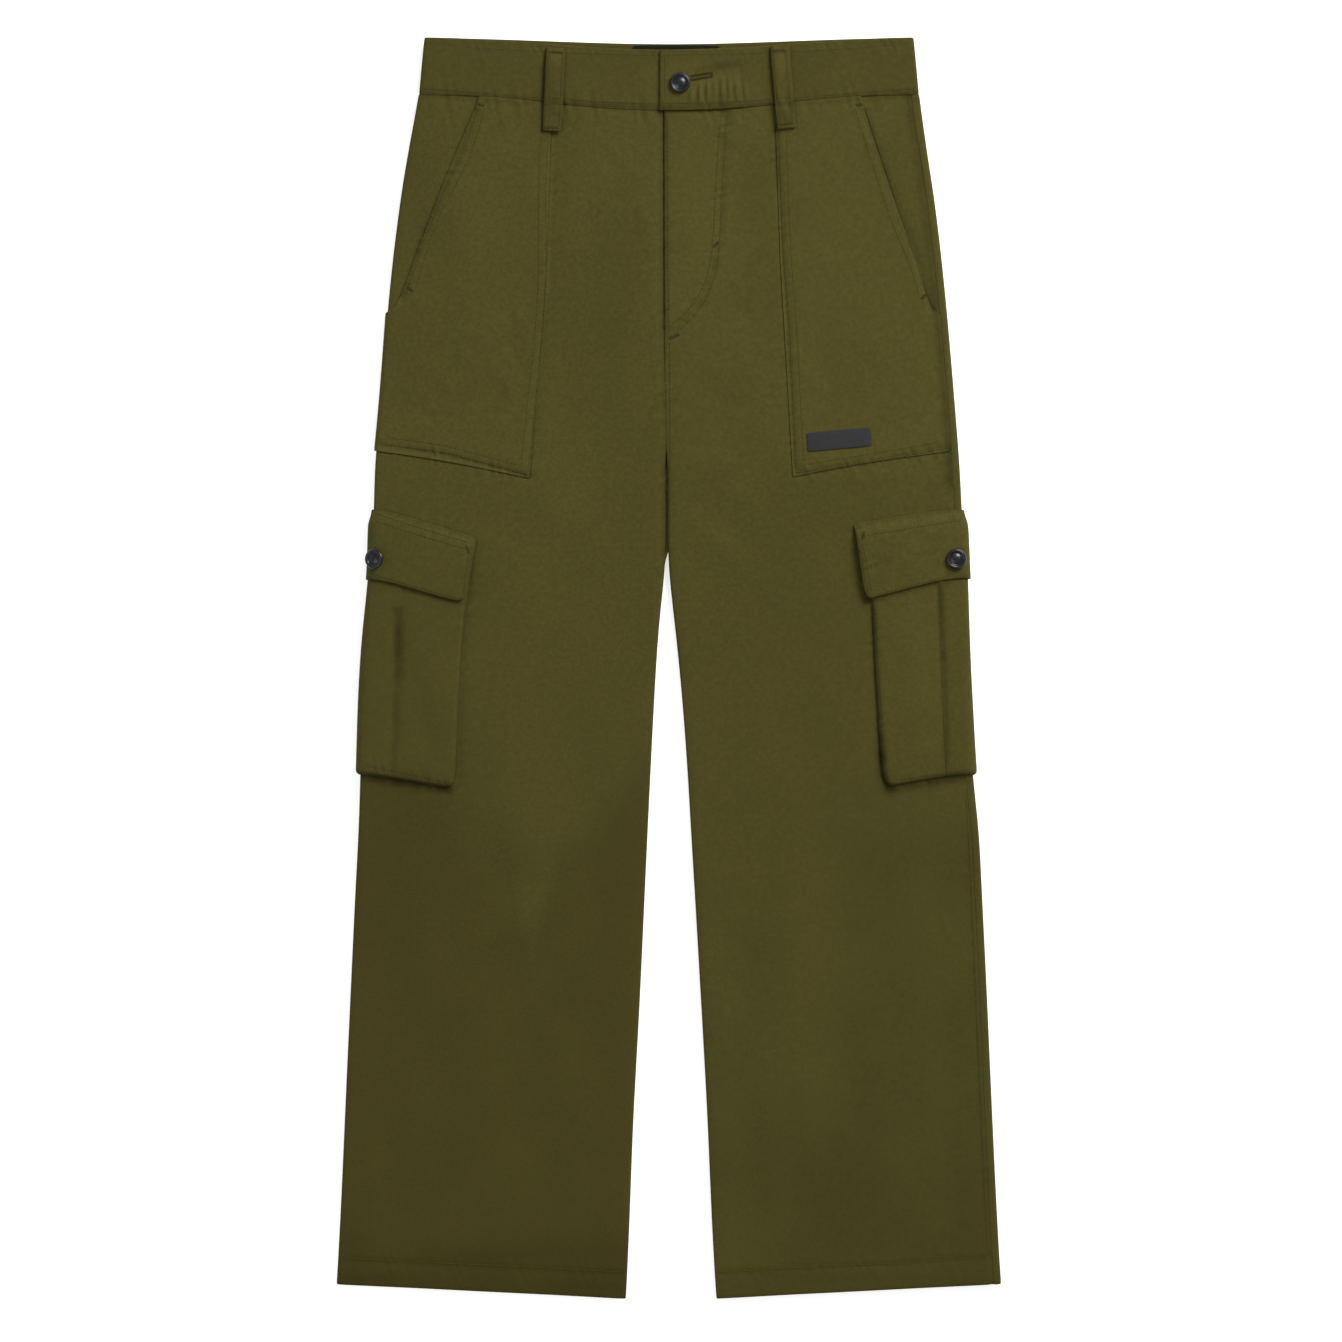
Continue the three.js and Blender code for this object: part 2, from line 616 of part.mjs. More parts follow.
function backLoopRows() {
  const middle = (backLoopTopY + backLoopBottomY) / 2;
  const reach = (backLoopTopY - backLoopBottomY) / 2;
  return [
    { y: middle - reach, under: 0.5, thick: loopWall - 1 },
    { y: middle - reach + 1, under: 0, thick: loopWall },
    { y: middle + reach - 1, under: 0, thick: loopWall },
    { y: middle + reach, under: 0.5, thick: loopWall - 1 },
  ];
}

// A shank button: a low dome with a groove inside its rim, on a short neck
function shankButton() {
  const profile = [
    { r: 0, z: 0 },
    { r: 3.2, z: 0 },
    { r: 3.2, z: 1.4 },
    { r: buttonRadius - 0.6, z: 1.5 },
    { r: buttonRadius, z: 2.1 },
    { r: buttonRadius - 0.3, z: 2.9 },
    { r: buttonRadius - 1.2, z: 3.2 },
    { r: buttonRadius - 2, z: 2.8 },
    { r: 3, z: 3.1 },
    { r: 0, z: 3.2 },
  ];
  const spun = new THREE.LatheGeometry(profile.map((point) => new THREE.Vector2(point.r, point.z)), 22);
  return spun.rotateX(Math.PI / 2);
}

const garment = new THREE.Group();

function addPiece(name, geometry, material) {
  const piece = new THREE.Mesh(geometry, material);
  piece.name = name;
  garment.add(piece);
  return piece;
}

function flapButton(side) {
  const hug = flapHug * Math.exp(-((side.buttonS / foldHugWidth) ** 2));
  const seat = legPoint(side, flapButtonY, side.buttonS, flapOuter - hug + gap);
  const button = addPiece(`flap_button_${side.name}`, shankButton(), metal);
  button.position.copy(seat);
  button.rotation.y = side.sign * THREE.MathUtils.degToRad(flapButtonTilt[side.name]);
}

for (const side of Object.values(sides)) {
  addPiece(`front_leg_${side.name}`, legPanel(side, 1), cloth);
  addPiece(`back_leg_${side.name}`, legPanel(side, -1), cloth);
  addPiece(`hip_pocket_${side.name}`, patchOnFront(side, hipPocketOutline(side), gap, wall, 110), cloth);
  addPiece(`cargo_pocket_${side.name}`, cargoBody(side), cloth);
  addPiece(`cargo_flap_${side.name}`, cargoFlap(side), cloth);
  flapButton(side);
}

addPiece('waistband', waistband(), cloth);

for (const place of frontLoops) {
  const loop = addPiece(place.name, loopStrip(frontLoopRows), cloth);
  loop.position.set(place.x, place.y, 0);
  loop.rotation.z = THREE.MathUtils.degToRad(place.tilt);
}

for (const place of backLoops) {
  const loop = addPiece(place.name, loopStrip(backLoopRows()), cloth);
  loop.position.x = place.x;
}

const overBand = bandTop + bandWall + 2 * gap;
addPiece('waist_button', shankButton(), metal).position.set(waistButton.x, waistButton.y, overBand);
addPiece('pocket_tag', patchOnFront(sides.left, tagOutline(), 2 * gap + wall, tag.wall, 110), tagCloth);

const labelBox = new THREE.BoxGeometry(label.toX - label.fromX, label.topY - label.bottomY, label.wall);
const labelPiece = addPiece('waist_label', labelBox, labelCloth);
labelPiece.position.set(
  (label.fromX + label.toX) / 2,
  (label.topY + label.bottomY) / 2,
  bandBottom + bandWall + gap + label.wall / 2,
);

export default garment;
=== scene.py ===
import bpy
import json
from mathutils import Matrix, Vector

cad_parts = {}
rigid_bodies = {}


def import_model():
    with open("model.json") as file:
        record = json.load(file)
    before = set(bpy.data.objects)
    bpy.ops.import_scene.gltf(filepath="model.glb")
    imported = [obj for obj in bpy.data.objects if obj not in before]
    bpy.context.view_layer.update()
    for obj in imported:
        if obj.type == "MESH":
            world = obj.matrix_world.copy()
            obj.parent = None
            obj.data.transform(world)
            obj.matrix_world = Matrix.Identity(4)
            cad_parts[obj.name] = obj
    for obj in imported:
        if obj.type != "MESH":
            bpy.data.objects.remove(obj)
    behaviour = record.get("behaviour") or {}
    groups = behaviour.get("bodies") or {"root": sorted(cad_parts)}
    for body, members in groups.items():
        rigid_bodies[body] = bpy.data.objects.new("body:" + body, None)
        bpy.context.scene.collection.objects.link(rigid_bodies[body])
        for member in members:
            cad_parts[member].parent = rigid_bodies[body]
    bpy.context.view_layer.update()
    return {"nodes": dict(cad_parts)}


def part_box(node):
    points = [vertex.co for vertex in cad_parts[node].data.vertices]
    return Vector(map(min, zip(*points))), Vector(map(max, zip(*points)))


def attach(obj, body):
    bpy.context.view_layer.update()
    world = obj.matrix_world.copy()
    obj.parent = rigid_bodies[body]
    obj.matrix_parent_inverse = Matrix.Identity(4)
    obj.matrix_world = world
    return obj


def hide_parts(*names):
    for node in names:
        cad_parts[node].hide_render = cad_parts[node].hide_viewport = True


bl_info = {
    "name": "Cargo Pants",
    "version": (1, 0, 0),
    "blender": (4, 5, 0),
    "location": "View3D > Sidebar > Cargo Pants",
    "description": "Twill, sewing, buttons and a plain studio for a pair of cargo pants laid flat",
    "category": "Add Mesh",
}

import json
import math
import random

import bmesh
import bpy
import numpy as np
from mathutils import Matrix, Vector
from mathutils.bvhtree import BVHTree

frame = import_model()
MM = 0.001

# ---------------------------------------------------------------- tables, in millimetres
# Outer fold of the legs, upwards: y, distance from the middle on the wearer's right and left
FOLD = [
    (-520, 273.4, 273.4), (-373, 266.2, 265.8), (-190, 257.8, 257.3), (-84, 253.0, 248.8), (-10, 251.0, 244.8),
    (79, 243.4, 242.4), (165, 241.0, 238.4), (228, 235.9, 233.9), (302, 230.2, 227.4), (375, 221.8, 219.4),
    (425, 213.8, 211.8), (471, 205.3, 205.3), (517, 200.9, 200.9),
]

# Inner edges of the legs where they are sewn together, upwards: y, x of the right and left leg's edge
MIDDLE = [
    (40, -8.0, 4.3), (79, -3.3, -0.3), (165, -2.8, -1.6), (228, -3.6, -3.0), (302, -4.0, -3.7), (471, -4.4, -4.1),
]

# Soft creases of the front: start x, y, end x, y, half width, height above the cloth (minus for a trough)
FRONT_CREASES = [
    (-171, -108, -118, -196, 17, -1.0), (-118, -196, -84, -132, 15, -0.8), (-84, -132, -20, -62, 16, -0.9),
    (-120, -60, -112, -176, 24, 1.1), (-215, -130, -196, -300, 20, 0.9), (-70, -180, -58, -420, 22, -0.7),
    (-160, -240, -150, -470, 26, 0.9), (-232, -330, -224, -480, 16, -0.8), (-104, -330, -96, -490, 18, -0.6),
    (104, -110, 110, -300, 20, 1.2), (110, -290, 118, -420, 16, 0.8), (146, -150, 132, -440, 20, -1.1),
    (196, -130, 206, -330, 20, 0.8), (226, -240, 236, -450, 14, -0.8), (62, -180, 58, -400, 18, -0.8),
    (78, -330, 90, -480, 15, 0.7), (172, -340, 180, -490, 18, 0.9), (-58, 350, -54, 250, 22, -0.9),
    (-30, 300, -40, 190, 16, 0.7), (-78, 420, -84, 330, 12, 0.6), (18, 430, 20, 300, 16, 0.7),
    (58, 420, 66, 260, 18, -0.7), (30, 240, 72, 150, 20, -0.8), (-14, 150, -60, 92, 14, -0.9),
    (-24, 128, -86, 52, 12, 0.7), (14, 150, 66, 96, 14, -0.9), (20, 122, 88, 60, 12, 0.7),
    (-150, 40, -96, 10, 18, -0.6), (-120, 140, -60, 110, 18, 0.6), (120, 146, 150, 60, 16, -0.6),
    (110, 20, 140, -60, 20, 0.7), (36, 20, 50, -140, 22, -0.7), (-60, 30, -48, -120, 20, 0.7),
    (-170, 300, -150, 220, 26, 0.7), (-128, 300, -112, 262, 5, 0.35), (-136, 276, -118, 240, 4, -0.3),
    (-142, 250, -124, 214, 5, 0.3), (-120, 226, -132, 196, 4, -0.3), (44, 330, 62, 306, 5, 0.35),
    (52, 300, 70, 278, 5, -0.3), (30, 250, 52, 232, 6, 0.35), (-26, 384, -14, 352, 6, 0.4),
    (-60, 428, -40, 404, 6, -0.35), (26, 448, 60, 434, 5, 0.4), (30, 436, 66, 418, 5, -0.35),
    (120, 430, 140, 404, 6, 0.35), (134, 392, 152, 360, 6, -0.3), (118, 352, 136, 322, 6, 0.3),
    (108, 250, 128, 222, 6, 0.35), (150, 262, 172, 236, 6, -0.3), (-196, 250, -176, 222, 6, 0.3),
    (-212, 218, -190, 198, 5, -0.3), (-130, 400, -150, 330, 20, -0.6), (19, 474, 18, 464, 1.8, 1.0),
    (26, 480, 25, 463, 1.9, 1.3), (32, 482, 31.4, 463, 1.7, 1.35), (37.6, 484, 37.4, 464, 1.8, 1.3),
    (43.6, 485, 43.8, 463, 1.9, 1.4), (49, 484, 49.6, 465, 1.7, 1.1), (55, 483, 56, 464, 1.9, 1.15),
    (62, 480, 63.4, 466, 2.0, 0.8), (69, 478, 70.4, 468, 2.2, 0.5), (-222, 56, -223, -14, 4.5, -1.7),
    (-224, -14, -227, -84, 4.0, -0.8), (222, 66, 227, -84, 3.0, -0.8), (-196, 30, -186, -60, 14, 0.8),
    (200, 40, 204, -60, 15, 0.9), (-206, -20, -196, -76, 8, -0.5), (-206, 100, -188, 72, 12, 0.5),
    (204, 106, 196, 74, 12, 0.5), (150, 380, 168, 290, 26, 0.7), (124, 300, 130, 210, 20, -0.6),
    (200, 240, 176, 200, 18, 0.5),
]

# Soft creases of the back, lifted off what it lies on: same columns, all upwards as seen from above
BACK_CREASES = [
    (-190, 380, -120, 300, 22, 0.9), (-60, 330, -110, 240, 20, 0.8), (60, 340, 120, 250, 22, 0.9),
    (190, 360, 130, 290, 20, 0.8), (-20, 170, -90, 90, 16, 1.0), (20, 168, 96, 84, 16, 1.0),
    (-30, 120, -110, 20, 12, 0.8), (28, 116, 118, 10, 12, 0.8), (-150, -40, -60, -90, 18, 0.9),
    (150, -50, 64, -100, 18, 0.9), (-170, -150, -80, -200, 16, 0.7), (170, -160, 84, -214, 16, 0.7),
    (-140, -220, -150, -420, 24, 0.9), (-70, -260, -66, -450, 18, 0.7), (140, -230, 150, -430, 24, 0.9),
    (74, -270, 66, -460, 18, 0.7), (-220, -260, -228, -450, 14, 0.7), (222, -260, 230, -440, 14, 0.7),
]

# Places where the whole garment lifts a little off what it lies on: x, y, half sizes, height
LIFTS = [
    (-274, -518, 58, 44, 3.6), (-160, -520, 40, 30, 1.2), (-36, -520, 34, 50, 2.4), (38, -520, 44, 46, 3.0),
    (150, -520, 46, 26, 1.4), (275, -520, 46, 60, 2.8), (-268, -330, 26, 60, 1.8), (264, -260, 24, 70, 2.0),
    (-30, -330, 22, 70, 1.8), (26, -220, 20, 60, 1.7), (-262, -150, 20, 40, 1.2), (256, -150, 20, 40, 1.4),
    (-206, 520, 46, 34, 2.4), (206, 520, 50, 34, 2.0), (-60, 520, 60, 20, 0.9), (80, 520, 50, 18, 0.8),
    (-226, 350, 22, 60, 1.4), (222, 330, 22, 60, 1.3), (-240, 190, 20, 34, 1.2), (240, 180, 20, 34, 1.4),
    (0, 60, 26, 50, 2.0),
]

# Sewn edges pressed thinner than the cloth: node, how far the top goes down, lines
PRESSED = {
    "hip_pocket_right": (1.2, [
        [(-95, 458), (-99, 302), (-107, 220), (-114, 156)],
        [(-114, 156), (-163, 169), (-188, 175), (-237, 181.5)],
        [(-159, 456), (-184, 396), (-204, 351), (-219, 304)],
    ]),
    "hip_pocket_left": (1.2, [
        [(87, 445), (91, 351), (97, 269), (102, 158)],
        [(102, 158), (165, 167), (230, 179)],
        [(161, 458), (177, 409), (206, 331), (216, 294)],
    ]),
    "waistband": (1.0, [
        [(-205, 471), (-150, 465), (-100, 461), (0, 458), (100, 461), (150, 465), (205, 471)],
    ]),
    "cargo_flap_right": (0.7, [
        [(-246, 131), (-160, 105)],
    ]),
    "cargo_flap_left": (0.7, [
        [(241, 130), (152.5, 116)],
    ]),
}

# Lower edges that hang further down the leg: node, how far, where the cloth begins to give, over what length
HANGING = {
    "cargo_flap_right": (3.0, 95, 40), "cargo_pocket_right": (3.0, -30, 50), "cargo_pocket_left": (3.0, -30, 50),
}

# Puckers along sewn lines, for each side: the line, how far they reach, spacing, height, lean
PUCKERS = {
    "front": [
        ([(-205, 468), (-100, 462), (0, 455), (100, 462), (205, 468)], 13, 11.0, 0.32, 0.25),
        ([(-203, 513), (-100, 509), (0, 505), (100, 509), (203, 513)], 7, 9.0, 0.18, 0.5),
        ([(24, 475), (62, 478)], 14, 9.0, 0.2, 0.02),
        ([(-5, 455), (-4, 300), (-2.5, 166), (-3, 84)], 12, 13.0, 0.28, 0.6),
        ([(47, 452), (44, 400), (40, 340), (24, 300), (-1, 272)], 9, 10.0, 0.24, 0.4),
        ([(-95, 452), (-99, 302), (-107, 220), (-114, 156)], 8, 11.0, 0.24, 0.5),
        ([(-114, 156), (-188, 174), (-237, 181)], 9, 9.5, 0.26, 0.4),
        ([(87, 445), (91, 351), (97, 269), (102, 158)], 8, 11.0, 0.24, 0.5),
        ([(102, 158), (165, 167), (232, 180)], 9, 9.5, 0.26, 0.4),
        ([(-159, 456), (-184, 396), (-204, 351), (-219, 304)], 8, 12.0, 0.24, 0.4),
        ([(161, 456), (177, 409), (206, 331), (216, 294)], 8, 12.0, 0.24, 0.4),
        ([(-244, 128), (-160, 102)], 9, 8.0, 0.26, 0.3),
        ([(241, 127), (152, 113)], 9, 8.0, 0.26, 0.3),
        ([(-163, 100), (-169, -26), (-171, -96)], 8, 12.0, 0.22, 0.4),
        ([(165, 112), (169, -6), (176, -92)], 8, 12.0, 0.22, 0.4),
        ([(-250, -80), (-176, -97)], 9, 9.0, 0.24, 0.4),
        ([(250, -84), (180, -93)], 9, 9.0, 0.24, 0.4),
        ([(-262, -488), (-150, -493), (-40, -498)], 14, 10.0, 0.13, 0.5),
        ([(46, -498), (150, -492), (263, -485)], 14, 10.0, 0.13, 0.5),
        ([(198, 300), (224, 228), (232, 150)], 6, 12.0, 0.16, 0.4),
        ([(246, -100), (252, -240), (263, -480)], 7, 15.0, 0.2, 0.5),
    ],
    "back": [
        ([(-205, 466), (0, 460), (205, 466)], 13, 11.0, 0.3, 0.25),
        ([(0, 455), (0, 300), (-2, 166)], 12, 13.0, 0.3, 0.6),
        ([(-262, -490), (-40, -500)], 16, 9.0, 0.32, 0.9),
        ([(46, -500), (263, -487)], 16, 9.0, 0.32, 0.9),
    ],
}

# Painted light (plus) and painted shade (minus) on the cloth, in soft patches: x, y, half sizes, turn in degrees,
# amount
PAINTED_SHADING_PATCHES = [
    (-112, -128, 34, 70, 0, 0.07), (107, -240, 24, 190, -1, 0.07), (190, -270, 60, 200, 2, -0.05),
    (150, -410, 120, 100, 0, -0.115), (240, -420, 26, 90, 2, -0.04), (124, -436, 34, 44, 0, -0.1),
    (-57, 300, 34, 60, 0, -0.06), (17, 356, 20, 84, 0, 0.08), (-205, 400, 18, 64, 16, -0.14),
    (-222, 22, 10, 60, 0, -0.06), (44, 230, 40, 90, 10, 0.05), (160, 330, 60, 90, 0, 0.03),
    (200, -10, 24, 70, 0, 0.05), (214, -62, 12, 14, 0, 0.1), (178, 410, 26, 60, 16, -0.1),
    (22, 486, 40, 14, 0, 0.08), (-150, 330, 50, 90, 0, 0.02), (60, -60, 60, 90, 0, 0.03),
    (-90, 60, 60, 110, 0, 0.03), (-212, -420, 50, 120, 0, -0.03), (250, -480, 24, 60, 0, -0.08),
    (-262, -480, 14, 60, 0, -0.06), (-40, -470, 16, 60, 0, -0.05), (-206, 490, 10, 30, 0, -0.05),
    (206, 490, 10, 30, 0, -0.05), (-97, 472, 7, 26, -3, -0.2), (-92, 502, 6, 7, 0, 0.14), (91, 496, 6, 14, 5, 0.2),
    (96, 450, 7, 9, 5, -0.22), (-50, 484, 38, 16, 0, 0.05), (-225, -110, 50, 22, 6, -0.1),
    (172, -104, 30, 16, 0, -0.08), (246, 16, 8, 34, 0, -0.07), (-240, -500, 40, 7, 2, -0.1),
    (-70, -508, 40, 6, 2, -0.1), (-150, -482, 60, 5, 2, -0.06), (120, -500, 60, 6, -2, -0.07),
    (225, 470, 30, 26, 0, -0.04), (20, 506, 60, 6, 0, -0.1), (30, 476, 40, 16, 0, 0.06), (-8, 330, 10, 60, 0, 0.04),
    (44, 494, 16, 4, 8, -0.2),
]

# Painted shade beside the seams and under pocket and flap edges (minus), and painted light on edges that fall in shade
# (plus), for each side: the line, half width, amount
PAINTED_SEAM_SHADING = {
    "front": [
        ([(-4, 455), (-4, 384), (-4, 280)], 2.4, -0.5), ([(-3.4, 280), (-3, 166)], 2.0, -0.2),
        ([(-3, 166), (-3, 84)], 2.4, -0.45),
        ([(-205, 470), (-100, 463.4), (0, 457.6), (100, 463.4), (205, 470)], 2.0, -0.16),
        ([(-100, 300), (-107.6, 220), (-114.6, 156.6)], 2.2, -0.1), ([(-114.6, 156), (-130, 160)], 2.4, -0.16),
        ([(-165, 169.6), (-188, 175), (-214, 179)], 3.4, -0.1), ([(87, 446), (89, 400)], 2.0, -0.2),
        ([(88.6, 392), (91, 351), (96, 280)], 1.5, 0.22), ([(99, 240), (102, 158)], 1.5, 0.2),
        ([(-95.6, 440), (-99.4, 310)], 1.6, 0.2), ([(-114, 155), (-170, 170), (-236, 180.6)], 1.2, 0.16),
        ([(97, 269), (102, 158)], 2.2, -0.06), ([(102, 158), (165, 167), (232, 179)], 2.4, -0.06),
        ([(-159.4, 458), (-184.6, 396), (-204.6, 351), (-219, 304)], 2.4, -0.24),
        ([(161.4, 458), (177.4, 409), (206.6, 331), (216, 294)], 2.4, -0.26),
        ([(-222.6, 48), (-222.6, -6)], 3.4, -0.5), ([(-223, -10), (-227, -86)], 3.0, -0.22),
        ([(222.4, 66), (224.6, 8)], 2.2, -0.52), ([(224.8, 4), (228, -80)], 2.4, -0.32),
        ([(-246, 73), (-196, 59.6), (-166, 52.6)], 2.4, -0.34), ([(246, 76), (222, 69), (164, 55)], 2.2, -0.3),
        ([(-254, -88.6), (-214, -94), (-180, -99.6)], 4.2, -0.7),
        ([(250, -89.4), (228, -91), (214, -93.6), (184, -99)], 3.6, -0.6), ([(-246, -98), (-196, -104)], 10, -0.1),
        ([(172, -34), (174.2, -76)], 3.6, -0.14), ([(173.2, -56), (174.6, -84), (179, -98)], 4.2, -0.2),
        ([(174, -72), (175, -88), (180, -99)], 4.8, -0.22),
        ([(167, 50), (170, -6), (174.6, -80), (179, -98)], 3.0, -0.45),
        ([(152, 114), (158, 84), (163, 56)], 2.4, -0.4), ([(-166, 46), (-170, -26), (-172, -96)], 2.0, -0.18),
        ([(-160, 103), (-164, 54)], 2.0, -0.2), ([(-264, -484), (-120, -491), (-37, -495)], 2.6, -0.16),
        ([(41, -495), (120, -491), (264, -482)], 2.6, -0.16),
        ([(45.6, 452), (43, 352), (31, 304), (0, 273)], 3.0, -0.1),
        ([(240, 122), (200, 116), (158, 109)], 2.4, -0.1), ([(-240, 123), (-200, 111), (-163, 99)], 3.0, -0.14),
        ([(196, 470), (206, 412), (214, 346), (224, 250), (231, 150)], 3.2, -0.42),
        ([(244, -100), (250, -240), (262, -480)], 2.2, -0.16), ([(24, 490), (36, 492.6), (58, 496)], 3.2, -0.16),
        ([(84, 508), (90.6, 444)], 2.0, -0.35), ([(-100, 507), (-103.6, 441)], 2.2, -0.3),
        ([(-86, 507), (-88.6, 441)], 1.8, -0.2),
    ],
    "back": [
        ([(-205, 466), (0, 461), (205, 466)], 2.4, -0.2), ([(-1, 455), (-1, 300), (-1.4, 165)], 2.2, -0.3),
        ([(-1.4, 165), (-2, 84)], 2.4, -0.3), ([(-264, -484), (-150, -490), (-37, -495)], 2.6, -0.14),
        ([(41, -495), (150, -490), (264, -482)], 2.6, -0.14), ([(-108, 506), (-108, 442)], 7.5, -0.06),
        ([(0, 506), (0, 442)], 7.5, -0.06), ([(108, 506), (108, 442)], 7.5, -0.06),
        ([(-250, -88), (-186, -96)], 3.0, -0.3), ([(250, -90), (188, -96)], 3.0, -0.3),
        ([(-224, 60), (-228, -84)], 2.2, -0.3), ([(224, 60), (228, -84)], 2.2, -0.3),
    ],
}

# Painted light and shade down the length: y, brightness
PAINTED_LENGTH_SHADING = [
    (-520, 1.16), (-350, 1.15), (-190, 1.11), (-60, 1.11), (60, 1.12), (300, 1.12), (440, 1.12), (475, 1.07),
    (520, 1.03),
]

# Upper edge of the painted shade on the lower right leg: x, y
PAINTED_LEG_SHADE_EDGE = [
    (-275, -92), (-171, -104), (-130, -152), (-112, -214), (-92, -138), (-16, -62), (0, -56),
]

# Rows of stitches on the front: painted shade of the thread, which makes lighter or darker copies of one thread, the
# line in x, y
FRONT_ROWS = [
    # waistband
    (0.8, [(-201, 475.5), (-150, 471.6), (-100, 467.8), (-50, 464.4), (-8, 462.8)]),
    (0.8, [(-4, 462.8), (50, 464.4), (100, 467.8), (150, 471.6), (201, 475.5)]),
    (0.95, [(-197, 512.4), (-150, 508.4), (-100, 505.6), (-50, 503.6), (-10, 502.9)]),
    (0.95, [(-4, 502.9), (50, 503.6), (100, 505.6), (150, 508.4), (197, 512.4)]),
    (0.8, [(-3.4, 501), (-3.4, 464.4)]),
    # fly
    (0.8, [(-1.4, 453), (-0.9, 380), (-0.3, 290), (0.4, 273)]),
    (0.88, [(48, 455), (45.4, 420), (43, 380), (41.6, 352), (38, 324), (29, 301), (15, 283), (0.6, 272)]),
    (0.88, [(42.6, 455), (40, 420), (37.6, 380), (36.2, 354), (32.8, 328), (24.6, 306.5), (12, 290), (0.8, 281)]),
    # seam below the fly
    (0.8, [(0.6, 268), (0.7, 230), (0.9, 200), (0.9, 176)]),
    # hip pockets
    (1.0, [(-97.4, 455), (-100.6, 400), (-101.8, 302), (-109.6, 220), (-115.8, 158.6)]),
    (1.0, [(-103.4, 455), (-106.6, 400), (-107.8, 302), (-115.4, 222), (-121, 166)]),
    (0.75, [(-116, 158.8), (-163, 171.4), (-188, 177.4), (-233, 183.4)]),
    (1.0, [(-121, 166), (-164, 177.4), (-189, 183.4), (-233, 189.4)]),
    (1.0, [(90, 452), (93.6, 351), (99.4, 269), (104.6, 160.4)]),
    (1.0, [(96, 452), (99.6, 351), (105.4, 270), (110.4, 167)]),
    (1.3, [(104.8, 160.6), (165, 169.4), (222, 179.6)]), (1.0, [(110.4, 167), (165, 175.6), (222, 185.6)]),
    # hip pockets' mouths
    (1.15, [(-156.6, 460), (-167.6, 425.6), (-181.6, 396.6), (-191.6, 376.8), (-201.6, 352), (-214, 312)]),
    (0.95, [(-150.6, 460), (-161.8, 424), (-175.8, 394.6), (-186, 374.8), (-196, 350), (-208, 310)]),
    (1.15, [(158.4, 460), (166.6, 433.6), (174.6, 409.6), (186.6, 372.6), (203.4, 331.6), (211, 306)]),
    (0.95, [(152.6, 460), (161, 432), (169, 407.6), (181, 370.6), (197.8, 330), (205.6, 304)]),
    # cargo flaps
    (0.8, [(-240, 126.6), (-204, 114.8), (-163, 102.4)]), (0.85, [(-240, 120.6), (-204, 108.8), (-165, 97)]),
    (0.85, [(-162.6, 99), (-166, 80), (-168, 60)]), (0.85, [(-244, 77.6), (-197, 63.8), (-168.6, 56.4)]),
    (1.7, [(239, 127), (204, 121.6), (156.6, 113.8)]), (0.85, [(239, 121), (204, 115.6), (158, 108)]),
    (0.85, [(157, 110), (162, 84), (166, 62)]), (0.85, [(243, 80.6), (222, 74), (167.6, 60)]),
    # cargo pockets
    (0.85, [(-167.4, 48), (-171, 0), (-173.4, -50), (-174.4, -88)]),
    (0.85, [(-248, -80), (-214, -86.4), (-177, -94)]), (0.85, [(169, 50), (172, 0), (175.4, -50), (178.4, -80)]),
    (0.85, [(246, -82.6), (214, -87.4), (184, -91.6)]),
    # hems
    (1.15, [(-264, -484), (-200, -487.4), (-120, -491), (-37, -495.4)]),
    (1.15, [(41, -495.4), (120, -491), (200, -487.4), (264, -482.4)]),
    # left outseam
    (0.85, [(199, 462), (208, 412), (216, 346), (221, 304), (227, 240), (232, 150)]),
    (0.85, [(243.4, -108), (248, -190), (256, -373), (261, -478)]),
    # belt loops
    (0.85, [(-98.6, 505.6), (-102, 444)]), (0.85, [(-87, 505.6), (-90, 444)]), (0.85, [(85, 507), (91.4, 446)]),
    (0.85, [(95, 507), (101.4, 446)]),
]

# Bar tacks on the front: same columns
FRONT_TACKS = [
    # belt loops
    (0.85, [(-102.4, 443.6), (-90, 443.2)]), (0.85, [(-98.8, 505.4), (-87, 504.8)]),
    (0.85, [(91, 446), (102, 447)]), (0.85, [(85, 506), (95, 507)]),
    # fly
    (0.75, [(0.4, 270.4), (8.4, 274.2)]), (0.75, [(40.8, 350), (36, 345)]),
    # cargo flaps
    (0.8, [(-166, 100.6), (-163.6, 94)]), (0.8, [(159.6, 112), (158.6, 105)]),
    # hip pockets' mouths
    (0.8, [(-214.6, 313), (-209, 308.6)]), (0.8, [(211.6, 307), (206.4, 302.6)]),
    (0.8, [(-157, 462.6), (-151, 461.6)]), (0.8, [(158.6, 462.6), (152.6, 461.6)]),
    # buttonhole
    (0.6, [(18, 485.2), (26, 486.6), (34, 488)]), (0.6, [(18.6, 482.2), (26.6, 483.6), (34.6, 485)]),
    (0.6, [(34.8, 489), (35.6, 484)]),
]

# Rows of stitches on the back: same columns
BACK_ROWS = [
    # waistband
    (0.8, [(-201, 475), (-100, 466.4), (0, 463.6), (100, 466.4), (201, 475)]),
    (0.85, [(-197, 513), (-100, 508.8), (0, 507.2), (100, 508.8), (197, 513)]),
    # middle seam
    (0.8, [(2.2, 455), (2.2, 300), (1.6, 180)]), (0.8, [(-4.2, 455), (-4.2, 300), (-4.8, 180)]),
    # hems
    (0.7, [(-264, -484), (-200, -487.4), (-120, -491), (-37, -495.4)]),
    (0.7, [(41, -495.4), (120, -491), (200, -487.4), (264, -482.4)]),
]

# Back belt loops, from the wearer's right: x of the middle; both edges of each are sewn
BACK_LOOPS = [-108, 0, 108]

